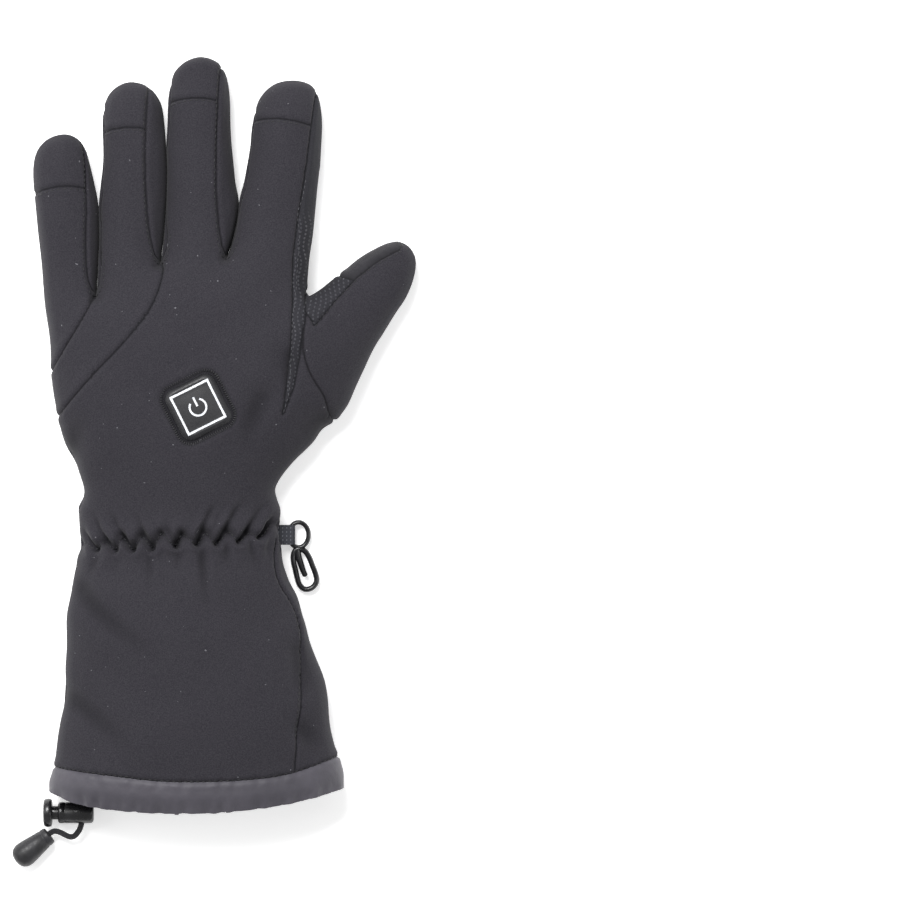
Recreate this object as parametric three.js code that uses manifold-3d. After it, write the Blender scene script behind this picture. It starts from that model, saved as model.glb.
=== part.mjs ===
// Heated winter glove for a left hand, lying palm down: fingers along +Y, thumb to +X, back along +Z.
// Millimetres. Until the last line X is from the hem's middle, Y from its lowest edge, Z from the floor.
import * as THREE from "three";
import { mergeVertices } from "three/addons/utils/BufferGeometryUtils.js";
import Module from "manifold-3d";

const wasm = await Module();
wasm.setup();

// Driving sizes of the shell
const cuffLength = 113;
const cuffWidth = 120;
const cuffHeight = 42;
const handLength = 119;
const handWidth = 112;
const handHeight = 38;
const wall = 2.8;
const seamGap = 0.3;
const fit = 0.3;
const flattening = 0.6;
const palmEdgeHeight = 9;

// Elastic at the wrist
const gatherDepth = 1.3;
const gatherReach = 17;
const gatherCount = 10;

// Hem
const hemHeight = 12;
const hemBow = 8;
const hemTopBow = 7.6;

// Fingers: root as shares of the hand's width and length from the wrist, the rest in mm and degrees.
// lean is to the little finger's side; seam is where the back panel ends, as a share of the half width.
const fingers = {
  little: {
    across: -0.474, along: 0.773, length: 78.6, lean: 2.8, width: 25.2, height: 23, cap: 24, seam: 0.73,
  },
  ring: {
    across: -0.255, along: 0.798, length: 96.7, lean: -1, width: 26.4, height: 24, cap: 20, seam: 0.54,
  },
  middle: {
    across: -0.009, along: 0.798, length: 107.2, lean: -1, width: 26, height: 24, cap: 19, seam: 0.63,
  },
  index: {
    across: 0.241, along: 0.798, length: 98.9, lean: -7.5, width: 29.5, height: 25, cap: 18, seam: 0.72,
  },
};
const thumb = { across: 0.268, along: 0.487, length: 88, lean: -42.7, width: 28, height: 25 };
const fingerRound = 15;
const thumbRound = 13;
const indexPatch = 33;
const thumbPatch = 35;

// Switch
const switchSide = 24;
const switchCorner = 4;
const switchTurn = 29;
const switchAcross = 0.005;
const switchAlong = 0.466;
const switchRim = 2.2;
const switchRimHeight = 0.6;
const switchProud = 0.6;

// Zip on the palm side of the cuff
const zipAcross = 0.69;
const zipTop = 104;
const zipFoot = 29;
const tapeWidth = 9;
const tapeThickness = 1.3;
const chainWidth = 4.2;
const chainThickness = 1.6;
const sliderLength = 8;
const sliderWidth = 6.4;
const sliderThickness = 1.8;
const bailWidth = 1.6;
const bailBridge = 0.6;
const pullerLength = 15;
const pullerWidth = 4.6;
const pullerThickness = 0.9;

// Webbing loop and snap hook
const webbingWidth = 6.4;
const webbingThickness = 1.2;
const hookThickness = 3.4;
const hookBand = 1.9;
const ringWidth = 10;
const ringLength = 12.4;
const ringCorner = 3.4;
const hookLength = 20;
const hookWidth = 9.4;
const hookTurn = 16;

// Drawcord, cord lock and cord end
const cordDiameter = 2.4;
const barrelDiameter = 9;
const barrelLength = 15;
const buttonDiameter = 12;
const buttonThickness = 3.6;
const plungerTravel = 2.5;
const bellNeck = 7.6;
const bellDiameter = 10.6;
const bellLength = 18;

// Colours
const colours = {
  softshell: 0x42414a,
  grip: 0x36363c,
  suede: 0x333237,
  lining: 0x5d5964,
  rubber: 0x17171a,
  plastic: 0x1c1c1f,
  webbing: 0x3a3c45,
  zip: 0x1b1b1f,
};

// Solids from three.js geometry, and back to named meshes
function solid(geometry) {
  const bare = new THREE.BufferGeometry();
  bare.setAttribute("position", geometry.getAttribute("position").clone());
  if (geometry.index) bare.setIndex(geometry.index.clone());
  const merged = mergeVertices(bare, 1e-4);
  const vertProperties = new Float32Array(merged.getAttribute("position").array);
  const corners = Array.from(merged.index.array);
  const triVerts = [];
  for (let i = 0; i < corners.length; i += 3) {
    const [a, b, c] = corners.slice(i, i + 3);
    if (a !== b && b !== c && c !== a) triVerts.push(a, b, c);
  }
  const made = (order) => new wasm.Manifold(new wasm.Mesh({
    numProp: 3, vertProperties, triVerts: new Uint32Array(order),
  }));
  const volume = signedVolume(vertProperties, triVerts);
  return made(volume > 0 ? triVerts : triVerts.toReversed());
}

function signedVolume(points, triangles) {
  const corner = (i) => new THREE.Vector3(...points.slice(3 * i, 3 * i + 3));
  let sum = 0;
  for (let i = 0; i < triangles.length; i += 3) {
    const [a, b, c] = triangles.slice(i, i + 3).map(corner);
    sum += a.dot(b.cross(c));
  }
  return sum;
}

const glove = new THREE.Group();

// The largest body of a cut, without the shavings that a cut leaves beside it
function largest(manifold) {
  return manifold.decompose().reduce((a, b) => (b.volume() > a.volume() ? b : a));
}

function addPiece(name, manifold, colour, roughness = 0.9) {
  const source = largest(manifold).getMesh();
  const geometry = new THREE.BufferGeometry();
  geometry.setAttribute("position", new THREE.BufferAttribute(new Float32Array(source.vertProperties), 3));
  geometry.setIndex(Array.from(source.triVerts));
  geometry.computeVertexNormals();
  const mesh = new THREE.Mesh(geometry, new THREE.MeshStandardMaterial({ color: colour, roughness }));
  mesh.name = name;
  glove.add(mesh);
  return mesh;
}

// A closed skin through rings of points, with a flat cap on each end
function loft(rings) {
  const count = rings[0].length;
  const positions = rings.flat().flatMap((p) => p.toArray());
  const index = [];
  for (let r = 0; r + 1 < rings.length; r++) {
    for (let i = 0; i < count; i++) {
      const a = r * count + i;
      const b = r * count + (i + 1) % count;
      index.push(a, b, b + count, a, b + count, a + count);
    }
  }
  for (const [ring, forward] of [[0, false], [rings.length - 1, true]]) {
    const centre = rings[ring].reduce((sum, p) => sum.add(p), new THREE.Vector3()).divideScalar(count);
    const middle = positions.length / 3;
    positions.push(...centre.toArray());
    for (let i = 0; i < count; i++) {
      const a = ring * count + i;
      const b = ring * count + (i + 1) % count;
      index.push(...(forward ? [a, b, middle] : [b, a, middle]));
    }
  }
  const geometry = new THREE.BufferGeometry();
  geometry.setAttribute("position", new THREE.BufferAttribute(new Float32Array(positions), 3));
  geometry.setIndex(index);
  return solid(geometry);
}

// An upright prism over an outline in X and Y, with every side moved outwards by grow
function prism(outline, low, high, grow = 0) {
  const points = outline.map((p) => new THREE.Vector2(...p));
  if (THREE.ShapeUtils.area(points) < 0) points.reverse();
  const moved = points.map((p, i) => {
    const before = points.at(i - 1);
    const after = points[(i + 1) % points.length];
    const inward = p.clone().sub(before).normalize();
    const outward = after.clone().sub(p).normalize();
    const normal = new THREE.Vector2(inward.y + outward.y, -inward.x - outward.x).normalize();
    const reach = grow / Math.max(0.4, normal.dot(new THREE.Vector2(inward.y, -inward.x)));
    return p.clone().addScaledVector(normal, reach);
  });
  const settings = { depth: high - low, bevelEnabled: false };
  const geometry = new THREE.ExtrudeGeometry(new THREE.Shape(moved), settings);
  geometry.translate(0, 0, low);
  return solid(geometry);
}

const ceiling = 90;
const cellar = -20;
const outside = 150;
const power = (value, exponent) => Math.sign(value) * Math.abs(value) ** exponent;

// Hand and cuff in one skin. Columns: share of the length, left and right as shares of the width,
// share of the height, fullness of the section, share of the hem's bow.
const cuffRows = [
  [0, 0.508, 0.506, 0.93, 2.2, 1],
  [0.106, 0.497, 0.497, 0.95, 2.2, 0.95],
  [0.212, 0.494, 0.477, 0.97, 2.1, 0.8],
  [0.354, 0.471, 0.454, 1, 2.1, 0.5],
  [0.496, 0.467, 0.438, 1, 2.1, 0.25],
  [0.637, 0.457, 0.388, 0.98, 2.1, 0.1],
  [0.779, 0.442, 0.367, 0.95, 2.1, 0],
  [0.867, 0.438, 0.333, 0.9, 2.1, 0],
  [0.938, 0.413, 0.296, 0.84, 2.2, 0],
  [1, 0.396, 0.273, 0.79, 2.2, 0],
];
const handRows = [
  [0.059, 0.436, 0.295, 0.89, 2.2],
  [0.118, 0.442, 0.299, 0.92, 2.2],
  [0.176, 0.42, 0.295, 0.94, 2.3],
  [0.277, 0.466, 0.362, 0.99, 2.4],
  [0.387, 0.512, 0.435, 1, 2.4],
  [0.521, 0.54, 0.45, 1, 2.4],
  [0.664, 0.549, 0.41, 0.97, 2.4],
  [0.807, 0.568, 0.41, 0.89, 2.4],
  [0.9, 0.576, 0.415, 0.78, 2.4],
  [0.958, 0.554, 0.393, 0.63, 2.3],
  [1, 0.5, 0.339, 0.37, 2.2],
];
const knuckleSlope = 0.54;
const knuckleTurn = 0.15;
const slopeStart = 0.6;

const sections = [
  ...cuffRows.map(([along, left, right, height, fullness, bow]) => ({
    y: along * cuffLength, left: left * cuffWidth, right: right * cuffWidth,
    height: height * cuffHeight, fullness, bow: bow * hemBow, slope: 0,
  })),
  ...handRows.map(([along, left, right, height, fullness]) => ({
    y: cuffLength + along * handLength, left: left * handWidth, right: right * handWidth,
    height: height * handHeight, fullness, bow: 0,
    slope: Math.max(0, along - slopeStart) / (1 - slopeStart),
  })),
];

function sectionPoint(section, angle, inset) {
  const middle = (section.right - section.left) / 2;
  const halfWidth = (section.right + section.left) / 2;
  const fromElastic = (section.y - cuffLength) / gatherReach;
  const gather = gatherDepth * Math.exp(-fromElastic * fromElastic) * Math.cos(gatherCount * angle);
  const grow = inset > 0 ? -inset : gather;
  const x = middle + (halfWidth + grow) * power(Math.cos(angle), 2 / section.fullness);
  const z = (section.height / 2 + grow) * power(Math.sin(angle), 2 / section.fullness);
  const side = x / (cuffWidth / 2);
  const beyondTurn = Math.max(0, -x - knuckleTurn * handWidth);
  const y = section.y + section.bow * side * side - knuckleSlope * section.slope * beyondTurn;
  return new THREE.Vector3(x, y, section.height / 2 - flattening + z);
}

// The hollow follows every other section, and the one at the elastic
function body(points, inset) {
  const hollow = inset > 0;
  const followed = sections.filter(({ y }, i) => !hollow || i % 2 === 0 || y === cuffLength);
  const rings = followed.map((section) => Array.from({ length: points }, (_, i) =>
    sectionPoint(section, (2 * Math.PI * i) / points, inset)));
  if (hollow) {
    rings[0].forEach((p) => p.setY(p.y - outside));
    rings.at(-1).forEach((p) => p.setY(p.y - inset));
  }
  return loft(rings);
}

// A finger: straight stretch by rows of share of the length, the width and the height, then a round tip
const fingerRows = [[0, 0.75, 0.8], [0.15, 0.92, 1], [0.5, 1.02, 1]];
const thumbRows = [[0, 0.9, 0.7], [0.2, 1.36, 1.05], [0.4, 1.34, 1.15], [0.6, 1.15, 1.08], [0.77, 0.98, 1]];
const tipAngles = [0, 0.35, 0.65, 0.9];

function placed(finger, side, along) {
  const lean = THREE.MathUtils.degToRad(finger.lean);
  const x = finger.across * handWidth - Math.sin(lean) * along + Math.cos(lean) * side;
  const y = cuffLength + finger.along * handLength + Math.cos(lean) * along + Math.sin(lean) * side;
  return [x, y];
}

function tube(finger, rows, round, points, inset) {
  const stations = rows.map(([along, width, height]) => [along * finger.length, width, height]);
  const [, lastWidth, lastHeight] = rows.at(-1);
  for (const share of tipAngles) {
    const angle = share * Math.PI / 2;
    const reach = finger.length - round * (1 - Math.sin(angle));
    const narrowing = Math.cos(angle) ** 0.85;
    stations.push([reach, lastWidth * narrowing, lastHeight * narrowing]);
  }
  const rings = stations.map(([along, width, height]) => Array.from({ length: points }, (_, i) => {
    const angle = (2 * Math.PI * i) / points;
    const halfWidth = Math.max(1, finger.width * width / 2 - inset);
    const halfHeight = Math.max(1, finger.height * height / 2 - inset);
    const from = inset + along * (1 - 2 * inset / finger.length);
    const [x, y] = placed(finger, halfWidth * power(Math.cos(angle), 0.87), from);
    const z = finger.height / 2 - flattening + halfHeight * power(Math.sin(angle), 0.87);
    return new THREE.Vector3(x, y, z);
  }));
  return loft(rings);
}

const bodyPoints = 36;
const bodyInnerPoints = 16;
const fingerPoints = 12;
const fingerInnerPoints = 8;

function skin(inset) {
  const inner = inset > 0;
  let whole = body(inner ? bodyInnerPoints : bodyPoints, inset);
  const sides = inner ? fingerInnerPoints : fingerPoints;
  for (const finger of Object.values(fingers)) {
    whole = whole.add(tube(finger, fingerRows, fingerRound, sides, inset));
  }
  return whole.add(tube(thumb, thumbRows, thumbRound, sides, inset));
}

const outerSkin = skin(0);
const floorTrim = prism([[-outside, -outside], [outside, -outside], [outside, 3 * outside],
  [-outside, 3 * outside]], 0, ceiling);
const shell = outerSkin.subtract(skin(wall)).intersect(floorTrim);

// Outlines of the panels. A hand point is given as shares of its width and of its length from the wrist.
const onHand = ([across, along]) => [across * handWidth, cuffLength + along * handLength];
const far = 2;
const crotches = [["little", "ring", 7], ["ring", "middle", 22], ["middle", "index", 24]];
const webDepth = 9;
const hiddenSide = 0.9;

function fourchetteOutline([left, right, depth]) {
  const a = fingers[left];
  const b = fingers[right];
  const seamA = a.seam * a.width / 2;
  const seamB = -hiddenSide * b.width / 2;
  const edgeA = placed(a, a.width / 2, depth - webDepth);
  const edgeB = placed(b, -b.width / 2, depth - webDepth);
  const crotch = [(edgeA[0] + edgeB[0]) / 2, Math.min(edgeA[1], edgeB[1])];
  const flare = 0.6;
  return [crotch, placed(b, flare * seamB, depth), placed(b, seamB, depth + webDepth + fingerRound / 2),
    placed(b, seamB, b.length + fingerRound),
    placed(a, seamA, a.length + fingerRound), placed(a, seamA, depth)];
}

const tipClearance = 0.5;
const capArch = 3;

// Everything of one finger from a stretch before its tip
function tipOutline(finger, stretch, arch) {
  const wide = finger.width / 2 + tipClearance;
  const start = finger.length - stretch;
  return [placed(finger, -wide, start), placed(finger, 0, start + arch), placed(finger, wide, start),
    placed(finger, wide, finger.length + wide), placed(finger, -wide, finger.length + wide)];
}

const littleSeam = [[-0.381, 0.868], [-0.429, 0.776], [-0.527, 0.625], [-0.9, 0.3]].map(onHand);
const ringSeam = [[-0.133, 0.96], [-0.127, 0.91], [-0.182, 0.787], [-0.287, 0.667], [-0.384, 0.575],
  [-0.9, 0.14]].map(onHand);
const thumbBackSeam = [[0.572, 0.363], [0.508, 0.423], [0.474, 0.505], [0.422, 0.589], [0.399, 0.692],
  [0.418, 0.843]].map(onHand);
const palmWrapSeam = [[0.324, 0.434], [0.351, 0.635], [0.358, 0.787]].map(onHand);
const thumbPalmSeam = [[0.13, 0.235], [0.089, 0.294], [0.071, 0.412], [0.089, 0.529], [0.156, 0.634],
  [0.232, 0.689], [0.321, 0.748], [0.418, 0.843]].map(onHand);
const gripSeam = [[1, 1.04], [0.737, 0.824], [0.589, 0.727], [0.393, 0.546], [0.25, 0.42],
  [0.13, 0.235]].map(onHand);
const heelSeam = [[0.13, 0.235], [0.204, 0.143], [0.261, 0.097], [0.328, 0.081], [0.8, 0.076]].map(onHand);
const palmSeam = [[-0.8, 0.076], [-0.305, 0.092], [-0.145, 0.118], [-0.032, 0.155],
  [0.13, 0.235]].map(onHand);

const aboveThumb = placed(thumb, -thumb.width, thumb.length + thumb.width);
const belowThumb = placed(thumb, 2 * thumb.width, thumb.length + thumb.width);
const overCrotch = placed(thumb, -0.72 * thumb.width, 0.7 * thumb.length);
const thumbBackOutline = [...thumbBackSeam, overCrotch, aboveThumb, belowThumb, onHand([1.1, 0.363])];
const { index, ring } = fingers;
const indexRootSide = placed(index, index.seam * index.width / 2, index.length / 4);
const indexTipSide = placed(index, index.seam * index.width / 2, index.length + fingerRound);
const palmWrapOutline = [...palmWrapSeam, indexRootSide, indexTipSide,
  placed(index, far * index.width, index.length + fingerRound),
  placed(index, far * index.width, index.length / 2),
  thumbBackSeam.at(-1), thumbBackSeam.at(-2), thumbBackSeam.at(-3)];
const littleOutline = [...littleSeam, onHand([-0.9, far]),
  placed(ring, -ring.width / 2 - 1, ring.length + fingerRound)];
const ringOutline = [...ringSeam, ...littleSeam.toReversed().map(([x, y]) => [x - 1, y]),
  placed(ring, -ring.width, ring.length + fingerRound),
  placed(ring, ring.width / 2, ring.length + fingerRound)];
const thumbGripOutline = [...thumbPalmSeam, overCrotch, aboveThumb, ...gripSeam.slice(0, -1)];
const thumbHeelOutline = [...gripSeam.slice(0, -1), ...heelSeam, belowThumb];
const palmOutline = [...palmSeam, ...thumbPalmSeam.slice(1), onHand([0.9, 0.843]), onHand([0.9, far]),
  onHand([-0.9, far])];
const thumbPatchOutline = tipOutline(thumb, thumbPatch, 0);
const indexPatchOutline = tipOutline(index, indexPatch, 0);

// The curved line where the hem starts, and the cuff and hand on either side of the elastic
const hemSteps = 12;
const hemTop = (x) => hemHeight + hemTopBow * (x / (cuffWidth / 2)) ** 2;
const hemLine = Array.from({ length: hemSteps + 1 }, (_, i) => {
  const x = cuffWidth * (1.3 * i / hemSteps - 0.65);
  return [x, hemTop(x)];
});
const hemOutline = [...hemLine, [outside, -outside], [-outside, -outside]];
const cuffOutline = [...hemLine.toReversed(), [-outside, hemLine[0][1]], [-outside, cuffLength],
  [outside, cuffLength], [outside, hemLine.at(-1)[1]]];
const handOutline = [[-outside, cuffLength], [outside, cuffLength], [outside, 4 * outside],
  [-outside, 4 * outside]];
const halfGap = seamGap / 2;
const cuffMiddle = cuffHeight / 2 - flattening;

const seamOverlap = 1;

const upper = (outline, grow) => prism(outline, palmEdgeHeight + halfGap, ceiling, grow);
const lower = (outline, grow) => prism(outline, cellar, palmEdgeHeight - halfGap, grow);
const level = (outline) => prism(outline, palmEdgeHeight - seamOverlap,
  palmEdgeHeight + seamOverlap, -halfGap);
const joining = (a, b) => level(a).intersect(level(b));

const hand = shell.intersect(prism(handOutline, cellar, ceiling, -halfGap));
let back = hand.intersect(prism(handOutline, palmEdgeHeight + halfGap, ceiling));
let front = hand.intersect(prism(handOutline, cellar, palmEdgeHeight - halfGap));

function takeFrom(part, outline, side) {
  const piece = part.intersect(side(outline, -halfGap));
  return [piece, part.subtract(side(outline, halfGap))];
}

// Switch: a rubber pad in a hole of the back, with a raised rim
function roundedBar(width, length, corner) {
  const shape = new THREE.Shape();
  const [x, y] = [width / 2 - corner, length / 2 - corner];
  const centres = [[x, y], [-x, y], [-x, -y], [x, -y]];
  centres.forEach(([cx, cy], quarter) => {
    const start = quarter * Math.PI / 2;
    shape.absarc(cx, cy, corner, start, start + Math.PI / 2, false);
  });
  shape.closePath();
  return shape;
}

const cornerSteps = 3;

function plate(shape, thickness, curveSegments = cornerSteps) {
  return solid(new THREE.ExtrudeGeometry(shape, { depth: thickness, bevelEnabled: false, curveSegments }));
}

const [switchX, switchY] = onHand([switchAcross, switchAlong]);
const backTop = handHeight - flattening;
const atSwitch = (piece, z) => piece.rotate([0, 0, switchTurn]).translate([switchX, switchY, z]);
const roundedSquare = (side, corner) => roundedBar(side, side, corner);
const holeShape = roundedSquare(switchSide + 2 * fit, switchCorner + fit);
const switchHole = atSwitch(plate(holeShape, ceiling), backTop / 2);
const padBase = plate(roundedSquare(switchSide, switchCorner), wall + switchProud);
const rimShape = roundedSquare(switchSide, switchCorner);
const rimHole = roundedSquare(switchSide - 2 * switchRim, switchCorner - switchRim);
rimShape.holes.push(new THREE.Path(rimHole.getPoints(cornerSteps).toReversed()));
const padRim = plate(rimShape, switchRimHeight + seamOverlap)
  .translate([0, 0, wall + switchProud - seamOverlap]);
addPiece("switch_pad", atSwitch(padBase.add(padRim), backTop - wall), colours.rubber, 0.45);
back = back.subtract(switchHole);

// Back of the hand
let piece;
for (const [name, finger] of Object.entries(fingers)) {
  [piece, back] = takeFrom(back, tipOutline(finger, finger.cap, capArch), upper);
  addPiece(`cap_${name}`, piece, colours.softshell);
}
for (const crotch of crotches) {
  [piece, back] = takeFrom(back, fourchetteOutline(crotch), upper);
  addPiece(`fourchette_${crotch[0]}_${crotch[1]}`, piece, colours.softshell);
}
const thumbBackPart = back.intersect(upper(thumbBackOutline, -halfGap));
back = back.subtract(upper(thumbBackOutline, halfGap));
const palmWrapPart = back.intersect(upper(palmWrapOutline, -halfGap));
back = back.subtract(upper(palmWrapOutline, halfGap));
[piece, back] = takeFrom(back, littleOutline, upper);
addPiece("back_little_panel", piece, colours.softshell);
[piece, back] = takeFrom(back, ringOutline, upper);
addPiece("back_ring_strip", piece, colours.softshell);
addPiece("back_panel", back, colours.softshell);

// Palm side of the hand
[piece, front] = takeFrom(front, thumbGripOutline, lower);
const thumbTouch = piece.intersect(lower(thumbPatchOutline, -halfGap));
addPiece("touch_patch_thumb", thumbTouch, colours.suede);
addPiece("thumb_grip_panel", piece.subtract(lower(thumbPatchOutline, halfGap)), colours.grip);
[piece, front] = takeFrom(front, thumbHeelOutline, lower);
const thumbJoin = hand.intersect(joining(thumbBackOutline, thumbHeelOutline));
addPiece("thumb_back_panel", thumbBackPart.add(piece).add(thumbJoin), colours.softshell);
[piece, front] = takeFrom(front, indexPatchOutline, lower);
addPiece("touch_patch_index", piece, colours.suede);
[piece, front] = takeFrom(front, palmOutline, lower);
const wrapJoin = hand.intersect(joining(palmWrapOutline, palmOutline))
  .subtract(upper(tipOutline(index, index.cap, capArch), halfGap))
  .subtract(upper(thumbBackOutline, halfGap))
  .subtract(lower(thumbGripOutline, halfGap))
  .subtract(lower(thumbHeelOutline, halfGap))
  .subtract(lower(indexPatchOutline, halfGap));
addPiece("palm_panel", piece.add(palmWrapPart).add(wrapJoin), colours.grip);
addPiece("wrist_strip", front, colours.softshell);

// Cuff in two halves, with the hem below it
const cuff = shell.intersect(prism(cuffOutline, cellar, ceiling, -halfGap));
addPiece("cuff_back", cuff.intersect(prism(cuffOutline, cuffMiddle + halfGap, ceiling)), colours.softshell);
const cuffPalm = cuff.intersect(prism(cuffOutline, cellar, cuffMiddle - halfGap));

// The cuff's palm side at y, at a share of its half width towards the little finger: a place off mm off
// the cloth and side mm along it, with the direction across the cloth and the one away from it
function onCuff(y, across) {
  const above = sections.findIndex((section) => section.y > y);
  const [a, b] = [sections[above - 1], sections[above]];
  const share = (y - a.y) / (b.y - a.y);
  const between = (key) => THREE.MathUtils.lerp(a[key], b[key], share);
  const middle = (between("right") - between("left")) / 2;
  const halfWidth = (between("right") + between("left")) / 2;
  const halfHeight = between("height") / 2;
  const fullness = between("fullness");
  const place = (u) => new THREE.Vector3(middle - halfWidth * u, y,
    halfHeight * (1 - (1 - u ** fullness) ** (1 / fullness)) - flattening);
  const step = 0.02;
  const acrossCloth = place(across - step).sub(place(across + step)).normalize();
  const away = new THREE.Vector3(acrossCloth.z, 0, -acrossCloth.x);
  return {
    acrossCloth, away,
    at: (side, off) => place(across).addScaledVector(acrossCloth, side).addScaledVector(away, off),
  };
}

function strip(from, to, width, low, high, steps) {
  const rings = [];
  for (let i = 0; i <= steps; i++) {
    const { at } = onCuff(THREE.MathUtils.lerp(from, to, i / steps), zipAcross);
    const half = width / 2;
    rings.push([at(-half, low), at(half, low), at(half, high), at(-half, high)]);
  }
  return loft(rings);
}

// Zip: a tape let into the cuff, closed teeth on it, slider at the foot and a puller on its bail
const zipSteps = 10;
const tapeSink = 0.2;
const tapeFoot = zipFoot - sliderLength - 1;
const slot = strip(zipTop + fit, tapeFoot - fit, tapeWidth + 2 * fit, -3 * wall, 2 * wall, zipSteps);
addPiece("cuff_palm", cuffPalm.subtract(slot), colours.softshell);
addPiece("zip_tape", strip(zipTop, tapeFoot, tapeWidth, -tapeSink - tapeThickness, -tapeSink, zipSteps),
  colours.zip);
const chainTop = fit - tapeSink + chainThickness;
const toothPitch = 5;
const toothDepth = 0.5;
let chain = strip(zipTop - fit, zipFoot + fit, chainWidth, fit - tapeSink, chainTop, zipSteps);
for (let y = zipFoot + toothPitch; y < zipTop - toothPitch; y += toothPitch) {
  const [from, to] = [y - toothPitch / 6, y + toothPitch / 6];
  chain = chain.subtract(strip(from, to, chainWidth + fit, chainTop - toothDepth, chainTop + fit, 1));
}
addPiece("zip_teeth", chain, colours.zip, 0.4);

const sliderMiddle = zipFoot - sliderLength / 2;
const sliderPlace = onCuff(sliderMiddle, zipAcross);
const sliderBasis = new THREE.Matrix4().makeBasis(sliderPlace.acrossCloth, new THREE.Vector3(0, 1, 0),
  sliderPlace.away.clone().negate()).setPosition(sliderPlace.at(0, 0));
const sliderTurn = Array.from(sliderBasis.elements);
const onSlider = (manifold) => manifold.transform(sliderTurn);
const sliderLow = -(fit - tapeSink) - sliderThickness;
const halfLong = sliderLength / 2;
const halfWide = sliderWidth / 2;
const sliderNose = 0.6 * halfWide;
const sliderShape = new THREE.Shape([[-sliderNose, -halfLong], [sliderNose, -halfLong], [halfWide, 0],
  [halfWide, halfLong], [-halfWide, halfLong], [-halfWide, 0]].map((p) => new THREE.Vector2(...p)));
const bailGap = 1.6;
const bailHalf = 2;
const bailPost = 0.8;

// A flat outline in the slider's own Y and Z, drawn out across it
function drawnAcross(outline, width) {
  const shape = new THREE.Shape(outline.map((p) => new THREE.Vector2(...p)));
  const geometry = new THREE.ExtrudeGeometry(shape, { depth: width, bevelEnabled: false });
  geometry.translate(0, 0, -width / 2);
  geometry.applyMatrix4(new THREE.Matrix4().makeBasis(new THREE.Vector3(0, 1, 0),
    new THREE.Vector3(0, 0, 1), new THREE.Vector3(1, 0, 0)));
  return solid(geometry);
}

const bailOuter = bailHalf + bailPost;
const bailOutline = [[-bailOuter, sliderLow + fit], [-bailOuter, sliderLow - bailGap - bailBridge],
  [bailOuter, sliderLow - bailGap - bailBridge], [bailOuter, sliderLow + fit], [bailHalf, sliderLow + fit],
  [bailHalf, sliderLow - bailGap], [-bailHalf, sliderLow - bailGap], [-bailHalf, sliderLow + fit]];
const sliderPlate = plate(sliderShape, sliderThickness).translate([0, 0, sliderLow]);
const bail = drawnAcross(bailOutline, bailWidth);
addPiece("zip_slider", onSlider(sliderPlate.add(bail)), colours.plastic, 0.35);

const pinHeight = sliderLow - bailGap / 2;
const pullerBar = 1;
const eyeLength = 3.2;
const windowLength = 3.4;
const halfPuller = pullerWidth / 2;
const rectangle = (left, right, low, high) => [[left, low], [right, low], [right, high], [left, high]]
  .map((p) => new THREE.Vector2(...p));
const pullerTop = pullerThickness / 2;
const pullerShape = new THREE.Shape(rectangle(-halfPuller, halfPuller, -pullerLength, pullerTop));
const eyeTop = pullerTop - pullerBar;
const eyeHalf = bailWidth / 2 + fit;
const windowHalf = halfPuller - pullerBar;
const windowFoot = pullerBar - pullerLength;
const eye = rectangle(-eyeHalf, eyeHalf, eyeTop - eyeLength, eyeTop);
pullerShape.holes.push(new THREE.Path(eye.toReversed()));
pullerShape.holes.push(new THREE.Path(
  rectangle(-windowHalf, windowHalf, windowFoot, windowFoot + windowLength).toReversed()));
const puller = plate(pullerShape, pullerThickness).translate([0, 0, pinHeight - pullerThickness / 2]);
addPiece("zip_puller", onSlider(puller), colours.plastic, 0.35);

// Snap hook lying beside the wrist, moulded in one piece with its spring tongue
const hookLow = webbingThickness + 2 * fit;
const wristEdge = cuffRows.at(-1)[2] * cuffWidth;
const webbingReach = 4.5;
const ringX = wristEdge + webbingReach + ringWidth / 2;
const ringY = cuffLength + 1.6;

const hookSides = 2;
const cutMargin = 1;
const flatEnd = 0.01;
const hookPlate = (shape) => plate(shape, hookThickness, hookSides);
const hookCutter = (shape) => plate(shape, hookThickness + 2 * cutMargin, hookSides)
  .translate([0, 0, -cutMargin]);
const ringBar = (cut) => roundedBar(ringWidth - cut, ringLength - cut, ringCorner - cut / 2);
const loopBar = (cut) => roundedBar(hookWidth - cut, hookLength - cut, (hookWidth - cut) / 2 - flatEnd);
const tongueLength = 0.58 * hookLength;
const tongueWidth = 1.6;
const tongueTop = hookLength / 2 - hookBand / 2;
const tongueFoot = hookLength / 2 - tongueLength;
const tongueShape = new THREE.Shape(rectangle(-tongueWidth, 0, tongueFoot, tongueTop));
const loop = hookPlate(loopBar(0)).subtract(hookCutter(loopBar(2 * hookBand))).add(hookPlate(tongueShape))
  .translate([0, hookBand - hookLength / 2, 0]).rotate([0, 0, hookTurn]).translate([0, -ringLength / 2, 0]);
const hook = hookPlate(ringBar(0)).add(loop).subtract(hookCutter(ringBar(2 * hookBand)));
addPiece("snap_hook", hook.translate([ringX, ringY, hookLow]), colours.plastic, 0.4);

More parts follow.
